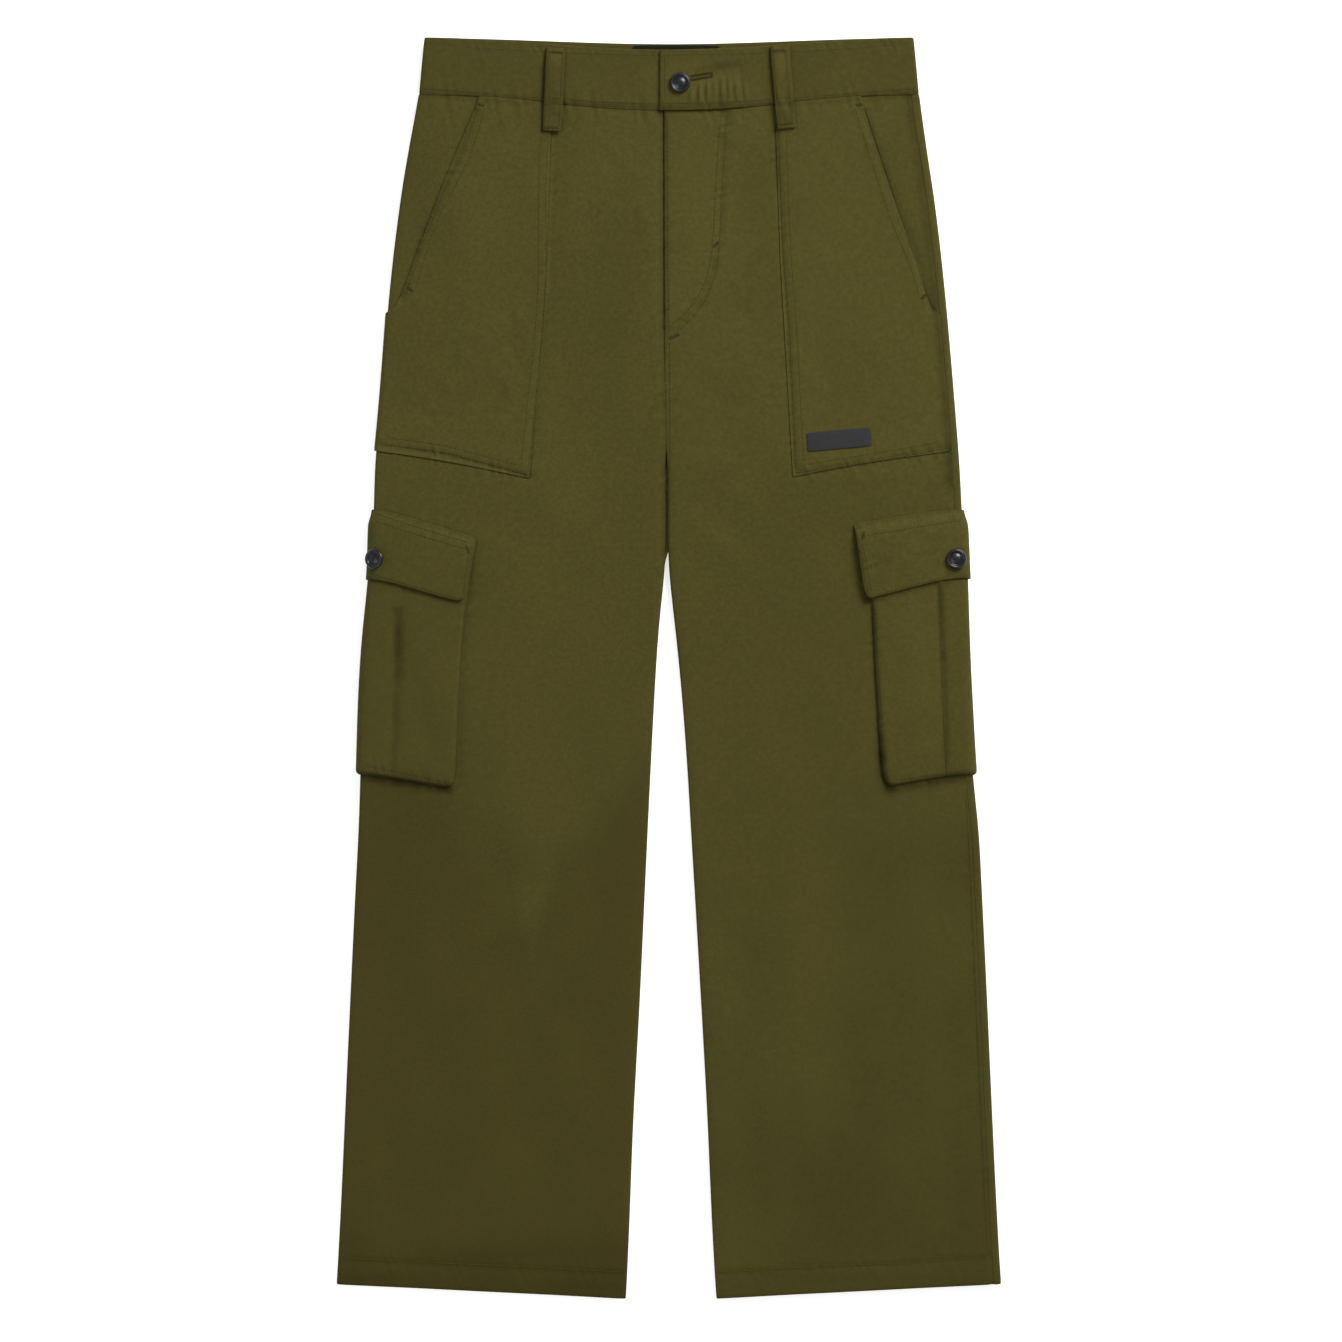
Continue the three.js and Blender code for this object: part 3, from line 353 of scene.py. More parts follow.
# Cloth cut for each sewn piece: node, flat width and length in metres, flat area in square metres, what it lies on
CUTS = {
    "front_leg_right": ((0.277, 0.99), 0.2312, "back_leg_right_cloth"),
    "front_leg_left": ((0.272, 0.99), 0.2236, "back_leg_left_cloth"),
    "back_leg_right": ((0.277, 0.99), 0.2296, "studio_floor"),
    "back_leg_left": ((0.285, 0.99), 0.2375, "studio_floor"),
    "waistband": ((0.85, 0.049), 0.0412, "studio_floor"),
    "hip_pocket_right": ((0.152, 0.314), 0.0330, "front_leg_right_cloth"),
    "hip_pocket_left": ((0.146, 0.313), 0.0334, "front_leg_left_cloth"),
    "cargo_pocket_right": ((0.186, 0.214), 0.0310, "front_leg_right_cloth"),
    "cargo_pocket_left": ((0.186, 0.214), 0.0317, "front_leg_left_cloth"),
    "cargo_flap_right": ((0.170, 0.075), 0.0097, "cargo_pocket_right_cloth"),
    "cargo_flap_left": ((0.178, 0.075), 0.0105, "cargo_pocket_left_cloth"),
    **dict.fromkeys(
        ("belt_loop_front_right", "belt_loop_front_left"), ((0.016, 0.073), 0.00117, "waistband_cloth")),
    **dict.fromkeys(
        ("belt_loop_back_right", "belt_loop_back_middle", "belt_loop_back_left"),
        ((0.016, 0.073), 0.00112, "studio_floor")),
    "pocket_tag": ((0.053, 0.016), 0.00083, "hip_pocket_left_cloth"),
    "waist_label": ((0.073, 0.022), 0.0016, "waistband_cloth"),
}

# Painted shade towards the hems: from which y, over what length, how much on the wearer's right and left
PAINTED_HEM_SHADE = [(-448, 34, 0.12, 0.03), (-488, 16, 0.07, 0.07)]

# Half section of a button's head: distance out and height, in shares of its radius and height
BUTTON_SECTION = [
    (0.0, 0.86), (0.16, 0.85), (0.34, 0.78), (0.46, 0.62), (0.52, 0.50), (0.58, 0.50), (0.64, 0.66),
    (0.72, 0.92), (0.82, 1.0), (0.91, 0.95), (0.98, 0.74), (1.0, 0.46), (0.96, 0.2), (0.86, 0.06), (0.0, 0.0),
]

# Buttons: CAD node, how far it leans in degrees, how far it sits inwards of its solid in metres
BUTTONS = [("waist_button", 0.0, 0.0), ("flap_button_right", -28.0, 0.0016), ("flap_button_left", 4.0, 0.0)]

# Grain of the finishes: noise scale, detail, roughness
GRAIN = {
    "yarn": (950.0, 3.0, 0.65), "slub": (300.0, 2.0, 0.6), "cloud": (16.0, 3.0, 0.5),
    "fibre": (1400.0, 2.0, 0.6), "dye_lot": (60.0, 1.0, 0.5), "label": (700.0, 3.0, 0.6),
    "wear": (420.0, 4.0, 0.65), "brushing": (2600.0, 2.0, 0.6), "paper": (3.0, 2.0, 0.5),
}

# Heights at which cloth that wraps an edge passes from the back to the front: from, over what rise
PASSES_FRONT = {"band": (4.2, 1.0), "wrap": (7.5, 2.0)}

# Sizes in millimetres, and amounts of the cloth's painted light and shade
FOLD_FADE = 16.0  # creases fade out over this width at the legs' outer folds
MIDDLE_FROM = {"front": 168.0, "back": 84.0}  # where the legs' edges begin to meet, upwards
MIDDLE_FADE = 16.0  # over what length they come together
MIDDLE_REACH = 14.0  # how wide a strip of each leg moves
MIDDLE_GAP = 0.35  # legs' edges nearer than this stay where they are
BACK_SEAM_ASIDE = 1.6  # the back's middle seam runs this far beside the front's
FRONT_FROM = 4.6  # pressed edges are on cloth above this height
PRESS_REACH = 3.2  # half width of a pressed edge
PAINTED_LEG_SHADE = 0.11  # how much the painted shade darkens the lower right leg
PAINTED_LEG_SHADE_BACK = -70.0  # upper edge of its painted shade on the back
PAINTED_LEG_SHADE_ABOVE = 8.0  # how far above that edge it begins
PAINTED_LEG_SHADE_FADE, PAINTED_LEG_SHADE_BACK_FADE = 44.0, 60.0  # over what length it darkens, and how much longer on the back
RIGHT_BROWN_FADE = 60.0  # over what length the right leg turns brown below its edge
LEFT_BROWN_FROM, LEFT_BROWN_FADE = -280.0, 160.0
HIP_BROWN_FROM, HIP_BROWN_FADE = 120.0, 200.0
DARKEST_PAINTED_SHADE = 0.12  # the painted light and shade go no darker than this
TWILL_SLANT = 38.0  # degrees
WARM_TINT = (1.0, 0.955, 0.955, 1)

# Mesh steps, in shares of the settings, and those of the small labels in metres
BACK_LEG_STEP, BAND_STEP, HIP_STEP, CARGO_STEP = 1.2, 0.85, 1.3, 1.1
TAG_STEP, LABEL_STEP = 0.0016, 0.003

# Forms of the pieces
WELD = 1e-6  # points nearer than this are one point, in metres
FLAT_ANGLE, CORNER_ANGLE = 12, 60  # triangles become quads up to these angles between faces and at corners
SIDEWAYS = 0.3  # rims that face sideways less than this stay where they are
CUTS_OVERALL, CUTS_BY_SEAMS = 5, 2  # how often a piece may be cut finer
SEAM_REACH = 0.9  # share of a pucker's reach that is cut finer
BUTTON_STEPS = 40  # steps round a button

# Sewing
CURVE_STEPS = 12  # points on a smooth line between two given places
NEEDLE_HEIGHT = 0.05  # where the needle starts, in metres
LONGEST_DROP = 0.0012  # no stitch goes down a step higher than this, in metres
STITCH_SKEW = 0.06  # how far a stitch's ends may lie beside its line, in millimetres
THREAD_SPREAD = (0.92, 1.06)  # how uneven the thread's width is
THREAD_HEIGHT = 0.75  # a stitch's height in shares of its width
TACK_STANDS, STITCH_STANDS = 0.3, 0.16  # how far its middle stands off the cloth, in the same shares
BACK_LOOP_HALF = 5.4  # from a back loop's middle to its sewn edges
BACK_LOOP_ENDS = (505, 445)  # y of both ends of those rows
# painted shade of the back loops' thread
BACK_LOOP_PAINTED_SHADE = 0.85

# Studio, in metres: each light's name, place, size and share of the key's power
LIGHTS = [("key_light", (1.6, 2.1, 1.9), 1.5, 1.0), ("fill_light", (-1.8, -1.2, 2.6), 2.4, 0.22)]
CLOTH_TOP = 0.008  # the camera's distance is counted from here
FLOOR_HEIGHT, FLOOR_SIZE = -0.0004, 5.0  # just under the cloth, and far past the picture


# ---------------------------------------------------------------- settings a user would change
def number_setting(name, description, default, **more):
    return bpy.props.FloatProperty(name=name, description=description, default=default, **more)


def length_setting(name, description, default):
    return number_setting(name, description, default, unit="LENGTH")


def colour_setting(name, description, default):
    return bpy.props.FloatVectorProperty(
        name=name, description=description, default=default, subtype="COLOR", min=0, max=1)


class PantsClothSettings(bpy.types.PropertyGroup):
    light_yarn: colour_setting("Light yarn", "Colour of the raised diagonal ribs", (0.070, 0.0615, 0.0135))
    dark_yarn: colour_setting("Dark yarn", "Colour of the yarn between the ribs", (0.047, 0.0410, 0.0090))
    tag_colour: colour_setting("Tag", "Colour of the woven tag", (0.0128, 0.0130, 0.0133))
    label_colour: colour_setting("Inner label", "Colour of the strip inside the waist", (0.0095, 0.0095, 0.006))
    rib_pitch: length_setting("Rib pitch", "Distance between the twill's ribs", 0.0011)
    mesh_step: length_setting("Mesh step", "Longest edge of the legs' mesh", 0.0056)
    seam_step: length_setting("Seam mesh step", "Longest edge of the mesh beside a sewn line", 0.0022)
    pocket_step: length_setting("Pocket mesh step", "Longest edge of the smaller pieces' mesh", 0.0021)
    edge_round: length_setting("Edge rounding", "Rounding of the cloth's cut edges", 0.0004)
    seam_close: length_setting("Seam closing", "How far each cut edge reaches out to the piece it is sewn to", 0.0003)
    crease_share: number_setting("Creases", "Share of the creases' height", 1.5, min=0, max=2.5)
    pucker_share: number_setting("Puckers", "Share of the puckers' height", 1.6, min=0, max=2)


class PantsSewingSettings(bpy.types.PropertyGroup):
    stitch: length_setting("Stitch", "Length of a stitch", 0.0027)
    pitch: length_setting("Pitch", "From one stitch to the next", 0.0034)
    thread: length_setting("Thread", "Width of the thread", 0.00075)
    tack_pitch: length_setting("Tack pitch", "From one bar tack stitch to the next", 0.0008)
    tack_width: length_setting("Tack width", "Width of a bar tack", 0.0024)


class PantsButtonSettings(bpy.types.PropertyGroup):
    metal: colour_setting("Metal", "Colour of the buttons", (0.040, 0.041, 0.045))
    radius: length_setting("Radius", "Radius of a button", 0.0084)
    height: length_setting("Height", "Height of a button's head", 0.0031)


class PantsStudioSettings(bpy.types.PropertyGroup):
    view_width: length_setting("View width", "Width of the picture at the cloth", 1.10044)
    view_x: length_setting("View across", "Middle of the picture, across the cloth", 0.00164)
    view_y: length_setting("View along", "Middle of the picture, along the cloth", -0.00226)
    lens: number_setting("Lens", "Focal length in millimetres", 150.0)
    floor_colour: colour_setting("Floor", "Colour of the floor", (0.92, 0.92, 0.92))
    ambient: number_setting("Ambient", "Light from all round", 0.33)
    key: number_setting("Key", "Power of the large light", 118.0, unit="POWER")


# ---------------------------------------------------------------- cloth forms
def smooth_step(t):
    t = np.clip(t, 0.0, 1.0)
    return t * t * (3.0 - 2.0 * t)


def from_table(at, table, column=1):
    """Values between a table's rows, for places along its first column."""
    return np.interp(at, [row[0] for row in table], [row[column] for row in table])


def nearest_on_line(x, y, line):
    """Distance from a sewn line, which side of it, and how far along it, for arrays of x and y."""
    best = np.full(x.shape, 1e9)
    along = np.zeros(x.shape)
    signed = np.zeros(x.shape)
    before = 0.0
    for (x0, y0), (x1, y1) in zip(line, line[1:]):
        dx, dy = x1 - x0, y1 - y0
        length = math.hypot(dx, dy)
        t = np.clip(((x - x0) * dx + (y - y0) * dy) / length ** 2, 0, 1)
        off_x, off_y = x - (x0 + t * dx), y - (y0 + t * dy)
        distance = np.hypot(off_x, off_y)
        nearer = distance < best
        best = np.where(nearer, distance, best)
        along = np.where(nearer, before + t * length, along)
        signed = np.where(nearer, np.sign(dx * off_y - dy * off_x) * distance, signed)
        before += length
    return best, signed, along


def crease_height(x, y, rows):
    """Soft ridges and troughs that run out towards their ends."""
    height = np.zeros(x.shape)
    for x0, y0, x1, y1, half, rise in rows:
        dx, dy = x1 - x0, y1 - y0
        t = np.clip(((x - x0) * dx + (y - y0) * dy) / (dx * dx + dy * dy), 0, 1)
        distance = np.hypot(x - x0 - t * dx, y - y0 - t * dy)
        height += rise * np.exp(-(distance / half) ** 2) * (0.2 + 0.8 * np.sin(np.pi * t))
    return height


def pucker_height(x, y, side):
    """Uneven waves beside the sewn lines, with the line itself drawn down."""
    height = np.zeros(x.shape)
    first = 0 if side == "front" else len(PUCKERS["front"])
    for index, (line, reach, pitch, rise, lean) in enumerate(PUCKERS[side], first):
        distance, signed, along = nearest_on_line(x, y, line)
        turn = 2 * np.pi * (along + lean * signed) / pitch
        # uneven spacing, then uneven height, then running out sideways
        wave = np.sin(turn + 1.6 * np.sin(turn / 2.7 + index)) + 0.4 * np.sin(turn * 0.53 + 2 * index)
        swell = 0.55 + 0.45 * np.sin(turn / 5.3 + 1.7 * index)
        near = np.exp(-(distance / reach) ** 2)
        drawn = np.exp(-(distance / (0.35 * reach)) ** 2)
        height += rise * (wave * swell * near - 0.8 * drawn)
    return height


def fold_fade(x, y):
    """0 on the legs' outer folds and 1 away from them, so that front and back stay joined."""
    fold = np.where(x < 0, from_table(y, FOLD, 1), from_table(y, FOLD, 2))
    return smooth_step((fold - np.abs(x)) / FOLD_FADE)


def middle_shift(x, y, layer):
    """How far a leg's inner edge moves sideways to meet the other leg at the middle seam, in millimetres."""
    right, left = from_table(y, MIDDLE, 1), from_table(y, MIDDLE, 2)
    middle = (left + right) / 2
    share = smooth_step((y - MIDDLE_FROM[layer]) / MIDDLE_FADE) * smooth_step(1 - np.abs(x - middle) / MIDDLE_REACH)
    shift = np.where(x < middle, 1.0, -1.0) * (left - right) / 2 * share
    aside = BACK_SEAM_ASIDE * share if layer == "back" else 0.0
    return np.where(np.abs(left - right) > MIDDLE_GAP, shift, 0.0) + aside


def front_share(z, layer):
    """1 where the cloth shows on the front of the garment, 0 where it shows on the back."""
    if layer in PASSES_FRONT:
        start, rise = PASSES_FRONT[layer]
        return smooth_step((z - start) / rise)
    return np.full(z.shape, float(layer == "front"))


def cloth_lift(x, y, share):
    """How far the creases and puckers lift the cloth, in millimetres, for its place on the flat garment."""
    cloth = bpy.context.scene.pants_cloth
    front, back = (
        cloth.crease_share * crease_height(x, y, creases) + cloth.pucker_share * pucker_height(x, y, side)
        for creases, side in ((FRONT_CREASES, "front"), (BACK_CREASES, "back")))
    back = np.maximum(back, 0.0)
    lift = np.zeros(x.shape)
    for cx, cy, rx, ry, height in LIFTS:
        lift += height * np.exp(-((x - cx) / rx) ** 2 - ((y - cy) / ry) ** 2)
    return (front * share + back * (1 - share)) * fold_fade(x, y) + lift


def cloth_tone(x, y, share):
    """Painted light and shade of the cloth at a place on the flat garment, as a brightness factor, 1 for the middle
    tone.
    """
    painted_shading = from_table(y, PAINTED_LENGTH_SHADING)
    edge = share * from_table(x, PAINTED_LEG_SHADE_EDGE) + PAINTED_LEG_SHADE_BACK * (1 - share)
    fade = PAINTED_LEG_SHADE_FADE + PAINTED_LEG_SHADE_BACK_FADE * (1 - share)
    # painted shade on the lower right leg
    painted_shading -= PAINTED_LEG_SHADE * smooth_step((edge - y + PAINTED_LEG_SHADE_ABOVE) / fade) * (x < 0)
    for cx, cy, rx, ry, turn, amount in PAINTED_SHADING_PATCHES:
        c, s = math.cos(math.radians(turn)), math.sin(math.radians(turn))
        u, v = (x - cx) * c + (y - cy) * s, (y - cy) * c - (x - cx) * s
        painted_shading += (0.3 + 0.7 * share) * amount * np.exp(-(u / rx) ** 2 - (v / ry) ** 2)
    for start, length, right, left in PAINTED_HEM_SHADE:
        painted_shading -= np.where(x < 0, right, left) * smooth_step((start - y) / length)
    for side, side_share in (("front", share), ("back", 1 - share)):
        for line, half, amount in PAINTED_SEAM_SHADING[side]:
            distance, _, along = nearest_on_line(x, y, line)
            uneven = 0.8 + 0.2 * np.sin(along / 9.0 + half) * np.sin(along / 4.1)
            painted_shading += side_share * amount * uneven * np.exp(-(distance / half) ** 2)
    return np.maximum(painted_shading, DARKEST_PAINTED_SHADE)


def cloth_warmth(x, y):
    """How far the dye has turned from olive towards brown at a place on the flat garment, 0 to 1.

    The right leg is brown below the upper edge of its painted shade, the left half as brown at its hem, and both a
    little below the hips.
    """
    right = smooth_step((from_table(x, PAINTED_LEG_SHADE_EDGE) - y) / RIGHT_BROWN_FADE)
    left = 0.5 * smooth_step((LEFT_BROWN_FROM - y) / LEFT_BROWN_FADE)
    lower = np.where(x < 0, right, left)
    return 0.25 * smooth_step((HIP_BROWN_FROM - y) / HIP_BROWN_FADE) * (1 - lower) + lower


def new_object(name, data):
    piece = bpy.data.objects.new(name, data)
    bpy.context.scene.collection.objects.link(piece)
    return piece


def round_over(piece):
    """One level of smoothing, the same in the view and in the render."""
    rounding = piece.modifiers.new("rounding", "SUBSURF")
    rounding.levels = rounding.render_levels = 1


def too_long(bm, step):
    return [e for e in bm.edges if e.calc_length() > step]


def edges_by_seams(bm, side, step):
    """The edges beside that side's sewn lines that are still too long to carry the puckers."""
    long_edges = too_long(bm, step)
    if not long_edges:
        return []
    middles = np.array([(e.verts[0].co + e.verts[1].co) / 2 for e in long_edges]) / MM
    near = np.zeros(len(long_edges), bool)
    for line, reach, *_ in PUCKERS[side]:
        near |= nearest_on_line(middles[:, 0], middles[:, 1], line)[0] < SEAM_REACH * reach
    return [e for e, close in zip(long_edges, near) if close]


def rounded_piece(node, rim_angle):
    """A piece on the form of a CAD node, with its seams closed, its rims rounded and its curves smoothed."""
    cloth = bpy.context.scene.pants_cloth
    bm = bmesh.new()
    bm.from_mesh(frame["nodes"][node].data)
    bmesh.ops.remove_doubles(bm, verts=bm.verts, dist=WELD)
    bmesh.ops.join_triangles(
        bm, faces=bm.faces, angle_face_threshold=math.radians(FLAT_ANGLE),
        angle_shape_threshold=math.radians(CORNER_ANGLE))
    rims = [e for e in bm.edges if len(e.link_faces) == 2 and e.calc_face_angle(0) > math.radians(rim_angle)]
    bm.normal_update()
    for vert in {v for e in rims for v in e.verts}:
        outwards = Vector((vert.normal.x, vert.normal.y, 0))
        if outwards.length > SIDEWAYS:
            vert.co += outwards.normalized() * cloth.seam_close
    bmesh.ops.bevel(
        bm, geom=rims, offset=cloth.edge_round, segments=1, profile=0.5, affect="EDGES", material=-1,
        clamp_overlap=True)
    coarse = bpy.data.meshes.new(node + "_coarse")
    bm.to_mesh(coarse)
    bm.free()
    piece = new_object(node + "_cloth", coarse)
    round_over(piece)
    piece.data = bpy.data.meshes.new_from_object(piece.evaluated_get(bpy.context.evaluated_depsgraph_get()))
    piece.modifiers.clear()
    bpy.data.meshes.remove(coarse)
    piece.data.name = piece.name
    return piece


def cut_finely(mesh, side, step):
    """Subdivides a piece to a step, and further beside its sewn lines."""
    bm = bmesh.new()
    bm.from_mesh(mesh)
    for _ in range(CUTS_OVERALL):
        long_edges = too_long(bm, step)
        if not long_edges:
            break
        bmesh.ops.subdivide_edges(bm, edges=long_edges, cuts=1, use_grid_fill=True)
    for _ in range(CUTS_BY_SEAMS):
        seam_edges = edges_by_seams(bm, side, bpy.context.scene.pants_cloth.seam_step)
        bmesh.ops.subdivide_edges(bm, edges=seam_edges, cuts=1, use_grid_fill=True)
    bmesh.ops.triangulate(bm, faces=[f for f in bm.faces if len(f.verts) > 4])
    bm.to_mesh(mesh)
    bm.free()


def read_vectors(mesh, key):
    values = np.zeros(len(mesh.vertices) * 3)
    mesh.vertices.foreach_get(key, values)
    return values.reshape(-1, 3)


def cloth_from_node(node, layer, step, rim_angle):
    """A finely cut sewn piece on the form of a CAD node, with its creases, puckers, painted light and shade, and brown
    dye laid in.
    """
    piece = rounded_piece(node, rim_angle)
    mesh = piece.data
    cut_finely(mesh, "back" if layer == "back" else "front", step)
    points = read_vectors(mesh, "co") / MM
    if "leg" in node:
        points[:, 0] += middle_shift(points[:, 0], points[:, 1], layer)
    if node in HANGING:
        drop, start, length = HANGING[node]
        points[:, 1] -= drop * smooth_step((start - points[:, 1]) / length)
    x, y = points[:, 0], points[:, 1]
    share = front_share(points[:, 2], layer)
    points[:, 2] += cloth_lift(x, y, share)
    if node in PRESSED:
        depth, lines = PRESSED[node]
        facing_up = np.clip(read_vectors(mesh, "normal")[:, 2], 0, 1) * (points[:, 2] > FRONT_FROM)
        nearest = np.min([nearest_on_line(x, y, line)[0] for line in lines], axis=0)
        points[:, 2] -= depth * facing_up * np.exp(-(nearest / PRESS_REACH) ** 2)
    points[:, 2] = np.maximum(points[:, 2], 0.0)
    mesh.vertices.foreach_set("co", (points * MM).ravel())
    mesh.polygons.foreach_set("use_smooth", [True] * len(mesh.polygons))
    # painted light and shade, and the dye's brown, stored on the points for the finish
    for name, values in (("painted_shading", cloth_tone(x, y, share)), ("warm", cloth_warmth(x, y))):
        mesh.attributes.new(name, "FLOAT", "POINT").data.foreach_set("value", values.astype(np.float32))
    mesh.update()
    return piece


def sewn_piece(node, layer, step, material, rim_angle=50.0):
    """A sewn piece with its finish and its place in the frame."""
    piece = cloth_from_node(node, layer, step, rim_angle)
    piece.data.materials.clear()
    piece.data.materials.append(material)
    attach(piece, "root")
    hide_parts(node)


# ---------------------------------------------------------------- finishes
def feed(tree, node, values):
    """Sets a node's sockets: a number or colour on the socket itself, another node's output as a link."""
    for socket, value in values.items():
        if isinstance(value, bpy.types.NodeSocket):
            tree.links.new(value, node.inputs[socket])
        else:
            node.inputs[socket].default_value = value


def shader_node(tree, kind, values, **settings):
    """A new node of that kind with its own settings, and values for its sockets."""
    node = tree.nodes.new("ShaderNode" + kind)
    for key, setting in settings.items():
        setattr(node, key, setting)
    feed(tree, node, values)
    return node


def new_material(name):
    """A new material, its node tree, its surface shader and the place on the object."""
    material = bpy.data.materials.new(name)
    material.use_nodes = True
    tree = material.node_tree
    tree.nodes.clear()
    surface = shader_node(tree, "BsdfPrincipled", {})
    shader_node(tree, "OutputMaterial", {"Surface": surface.outputs["BSDF"]})
    place = shader_node(tree, "TexCoord", {}).outputs["Object"]
    return material, tree, surface, place


def grain_of(tree, place, kind):
    scale, detail, roughness = GRAIN[kind]
    values = {"Vector": place, "Scale": scale, "Detail": detail, "Roughness": roughness}
    return shader_node(tree, "TexNoise", values).outputs["Fac"]


def ribs_of(tree, place, direction, pitch, distortion, detail_scale=1.0):
    """Even ribs at a pitch in metres, counted along that direction."""
    values = {"Vector": place, "Scale": 2 * math.pi / (20 * pitch), "Distortion": distortion,
              "Detail": 2.0, "Detail Scale": detail_scale}
    return shader_node(tree, "TexWave", values, wave_type="BANDS", bands_direction=direction).outputs["Fac"]


def maths(tree, first, operation, second):
    return shader_node(tree, "Math", {0: first, 1: second}, operation=operation).outputs[0]


def blend(tree, share, first, second, kind="MIX"):
    values = {"Factor": share, "A": first, "B": second}
    return shader_node(tree, "Mix", values, data_type="RGBA", blend_type=kind).outputs["Result"]


def attribute_of(tree, name):
    return shader_node(tree, "Attribute", {}, attribute_name=name).outputs["Fac"]


def shaded(colour, share):
    return (*[c * share for c in colour], 1)


def relief(tree, surface, height, strength, distance):
    bump = shader_node(tree, "Bump", {"Height": height, "Strength": strength, "Distance": distance})
    feed(tree, surface, {"Normal": bump.outputs["Normal"]})


def twill(name, turn=0.0, painted_shade=1.0):
    """Cotton twill: slanting ribs, uneven yarn, random dye patches, a soft nap, and the painted light and shade stored
    on the points; its last argument paints a whole piece lighter or darker.
    """
    cloth = bpy.context.scene.pants_cloth
    material, tree, surface, place = new_material(name)
    slant = shader_node(tree, "Mapping", {"Vector": place, "Rotation": (0, 0, math.radians(TWILL_SLANT + turn))})
    ribs = ribs_of(tree, slant.outputs["Vector"], "X", cloth.rib_pitch, 1.3, 0.6)
    yarn, slub, cloud = (grain_of(tree, place, kind) for kind in ("yarn", "slub", "cloud"))
    # painted light and shade, and the brown dye, read from the points
    painted_shading, warm = attribute_of(tree, "painted_shading"), attribute_of(tree, "warm")
    mixed = maths(tree, maths(tree, ribs, "MULTIPLY", 0.34), "ADD", maths(tree, yarn, "MULTIPLY", 0.95))
    # blotches are fainter where the dye has turned brown
    uneven = maths(tree, 1.35, "SUBTRACT", maths(tree, warm, "MULTIPLY", 0.9))
    blotches = maths(tree, maths(tree, slub, "SUBTRACT", 0.5), "MULTIPLY", uneven)
    mixed = maths(tree, maths(tree, mixed, "ADD", blotches), "SUBTRACT", 0.15)
    colour = blend(tree, mixed, shaded(cloth.dark_yarn, painted_shade), shaded(cloth.light_yarn, painted_shade))
    patches = maths(tree, maths(tree, cloud, "SUBTRACT", 0.5), "MULTIPLY", 0.24)
    # yarn colour scaled by the painted light and shade, plus random dye patches
    painted_shade_and_patches = shader_node(
        tree, "VectorMath", {0: colour, "Scale": maths(tree, painted_shading, "ADD", patches)}, operation="SCALE")
    feed(tree, surface, {
        "Base Color": blend(tree, warm, painted_shade_and_patches.outputs["Vector"], WARM_TINT, "MULTIPLY"),
        "Roughness": maths(tree, maths(tree, slub, "MULTIPLY", 0.16), "ADD", 0.78),
        "Specular IOR Level": 0.07, "Sheen Weight": 0.03, "Sheen Roughness": 0.5,
        "Sheen Tint": (0.75, 0.72, 0.45, 1),
    })
    height = maths(tree, maths(tree, maths(tree, ribs, "MULTIPLY", 0.6), "ADD", yarn), "ADD", slub)
    relief(tree, surface, height, 0.5, 0.00035)
    return material


def woven_label(name, colour, rib, sheen, gloss):
    """Close plain weave of a tag or label, with a faint rib across it."""
    material, tree, surface, place = new_material(name)
    weft, warp = (ribs_of(tree, place, direction, rib, 0.4) for direction in ("Y", "X"))
    crossing = maths(tree, weft, "MULTIPLY", warp)
    weave = maths(tree, maths(tree, crossing, "MULTIPLY", 0.5), "ADD", grain_of(tree, place, "label"))
    feed(tree, surface, {
        "Base Color": blend(tree, weave, shaded(colour, 0.72), shaded(colour, 1.25)),
        "Roughness": 0.72, "Specular IOR Level": gloss, "Sheen Weight": sheen,
    })
    relief(tree, surface, weave, 0.5, 0.0002)
    return material


def sewing_thread(name, painted_shade):
    """Spun cotton-wrapped thread in the cloth's colour, painted a little lighter or darker for each row."""
    cloth = bpy.context.scene.pants_cloth
    material, tree, surface, place = new_material(name)
    fibre, lot = grain_of(tree, place, "fibre"), grain_of(tree, place, "dye_lot")
    mixed = maths(tree, maths(tree, fibre, "MULTIPLY", 0.6), "ADD", maths(tree, lot, "MULTIPLY", 0.5))
    feed(tree, surface, {
        "Base Color": blend(tree, mixed, shaded(cloth.dark_yarn, painted_shade), shaded(cloth.light_yarn, painted_shade * 1.05)),
        "Roughness": 0.75, "Specular IOR Level": 0.1, "Sheen Weight": 0.02,
    })
    relief(tree, surface, fibre, 0.4, 0.0001)
    return material


def dark_metal(name):
    """Gunmetal plating with faint handling marks."""
    metal = bpy.context.scene.pants_button.metal
    material, tree, surface, place = new_material(name)
    wear = grain_of(tree, place, "wear")
    feed(tree, surface, {
        "Base Color": blend(tree, wear, shaded(metal, 0.6), shaded(metal, 1.5)), "Metallic": 0.85,
        "Roughness": maths(tree, maths(tree, wear, "MULTIPLY", 0.22), "ADD", 0.2),
    })
    relief(tree, surface, grain_of(tree, place, "brushing"), 0.15, 0.0001)
    return material


def studio_paper(name, colour):
    """Pale matt paper that glows a little, so that the floor stays plain."""
    material, tree, surface, place = new_material(name)
    feed(tree, surface, {
        "Base Color": blend(tree, grain_of(tree, place, "paper"), shaded(colour, 0.985), shaded(colour, 1.0)),
        "Roughness": 0.9, "Specular IOR Level": 0.1, "Emission Color": (1, 1, 1, 1), "Emission Strength": 0.6,
    })
    return material


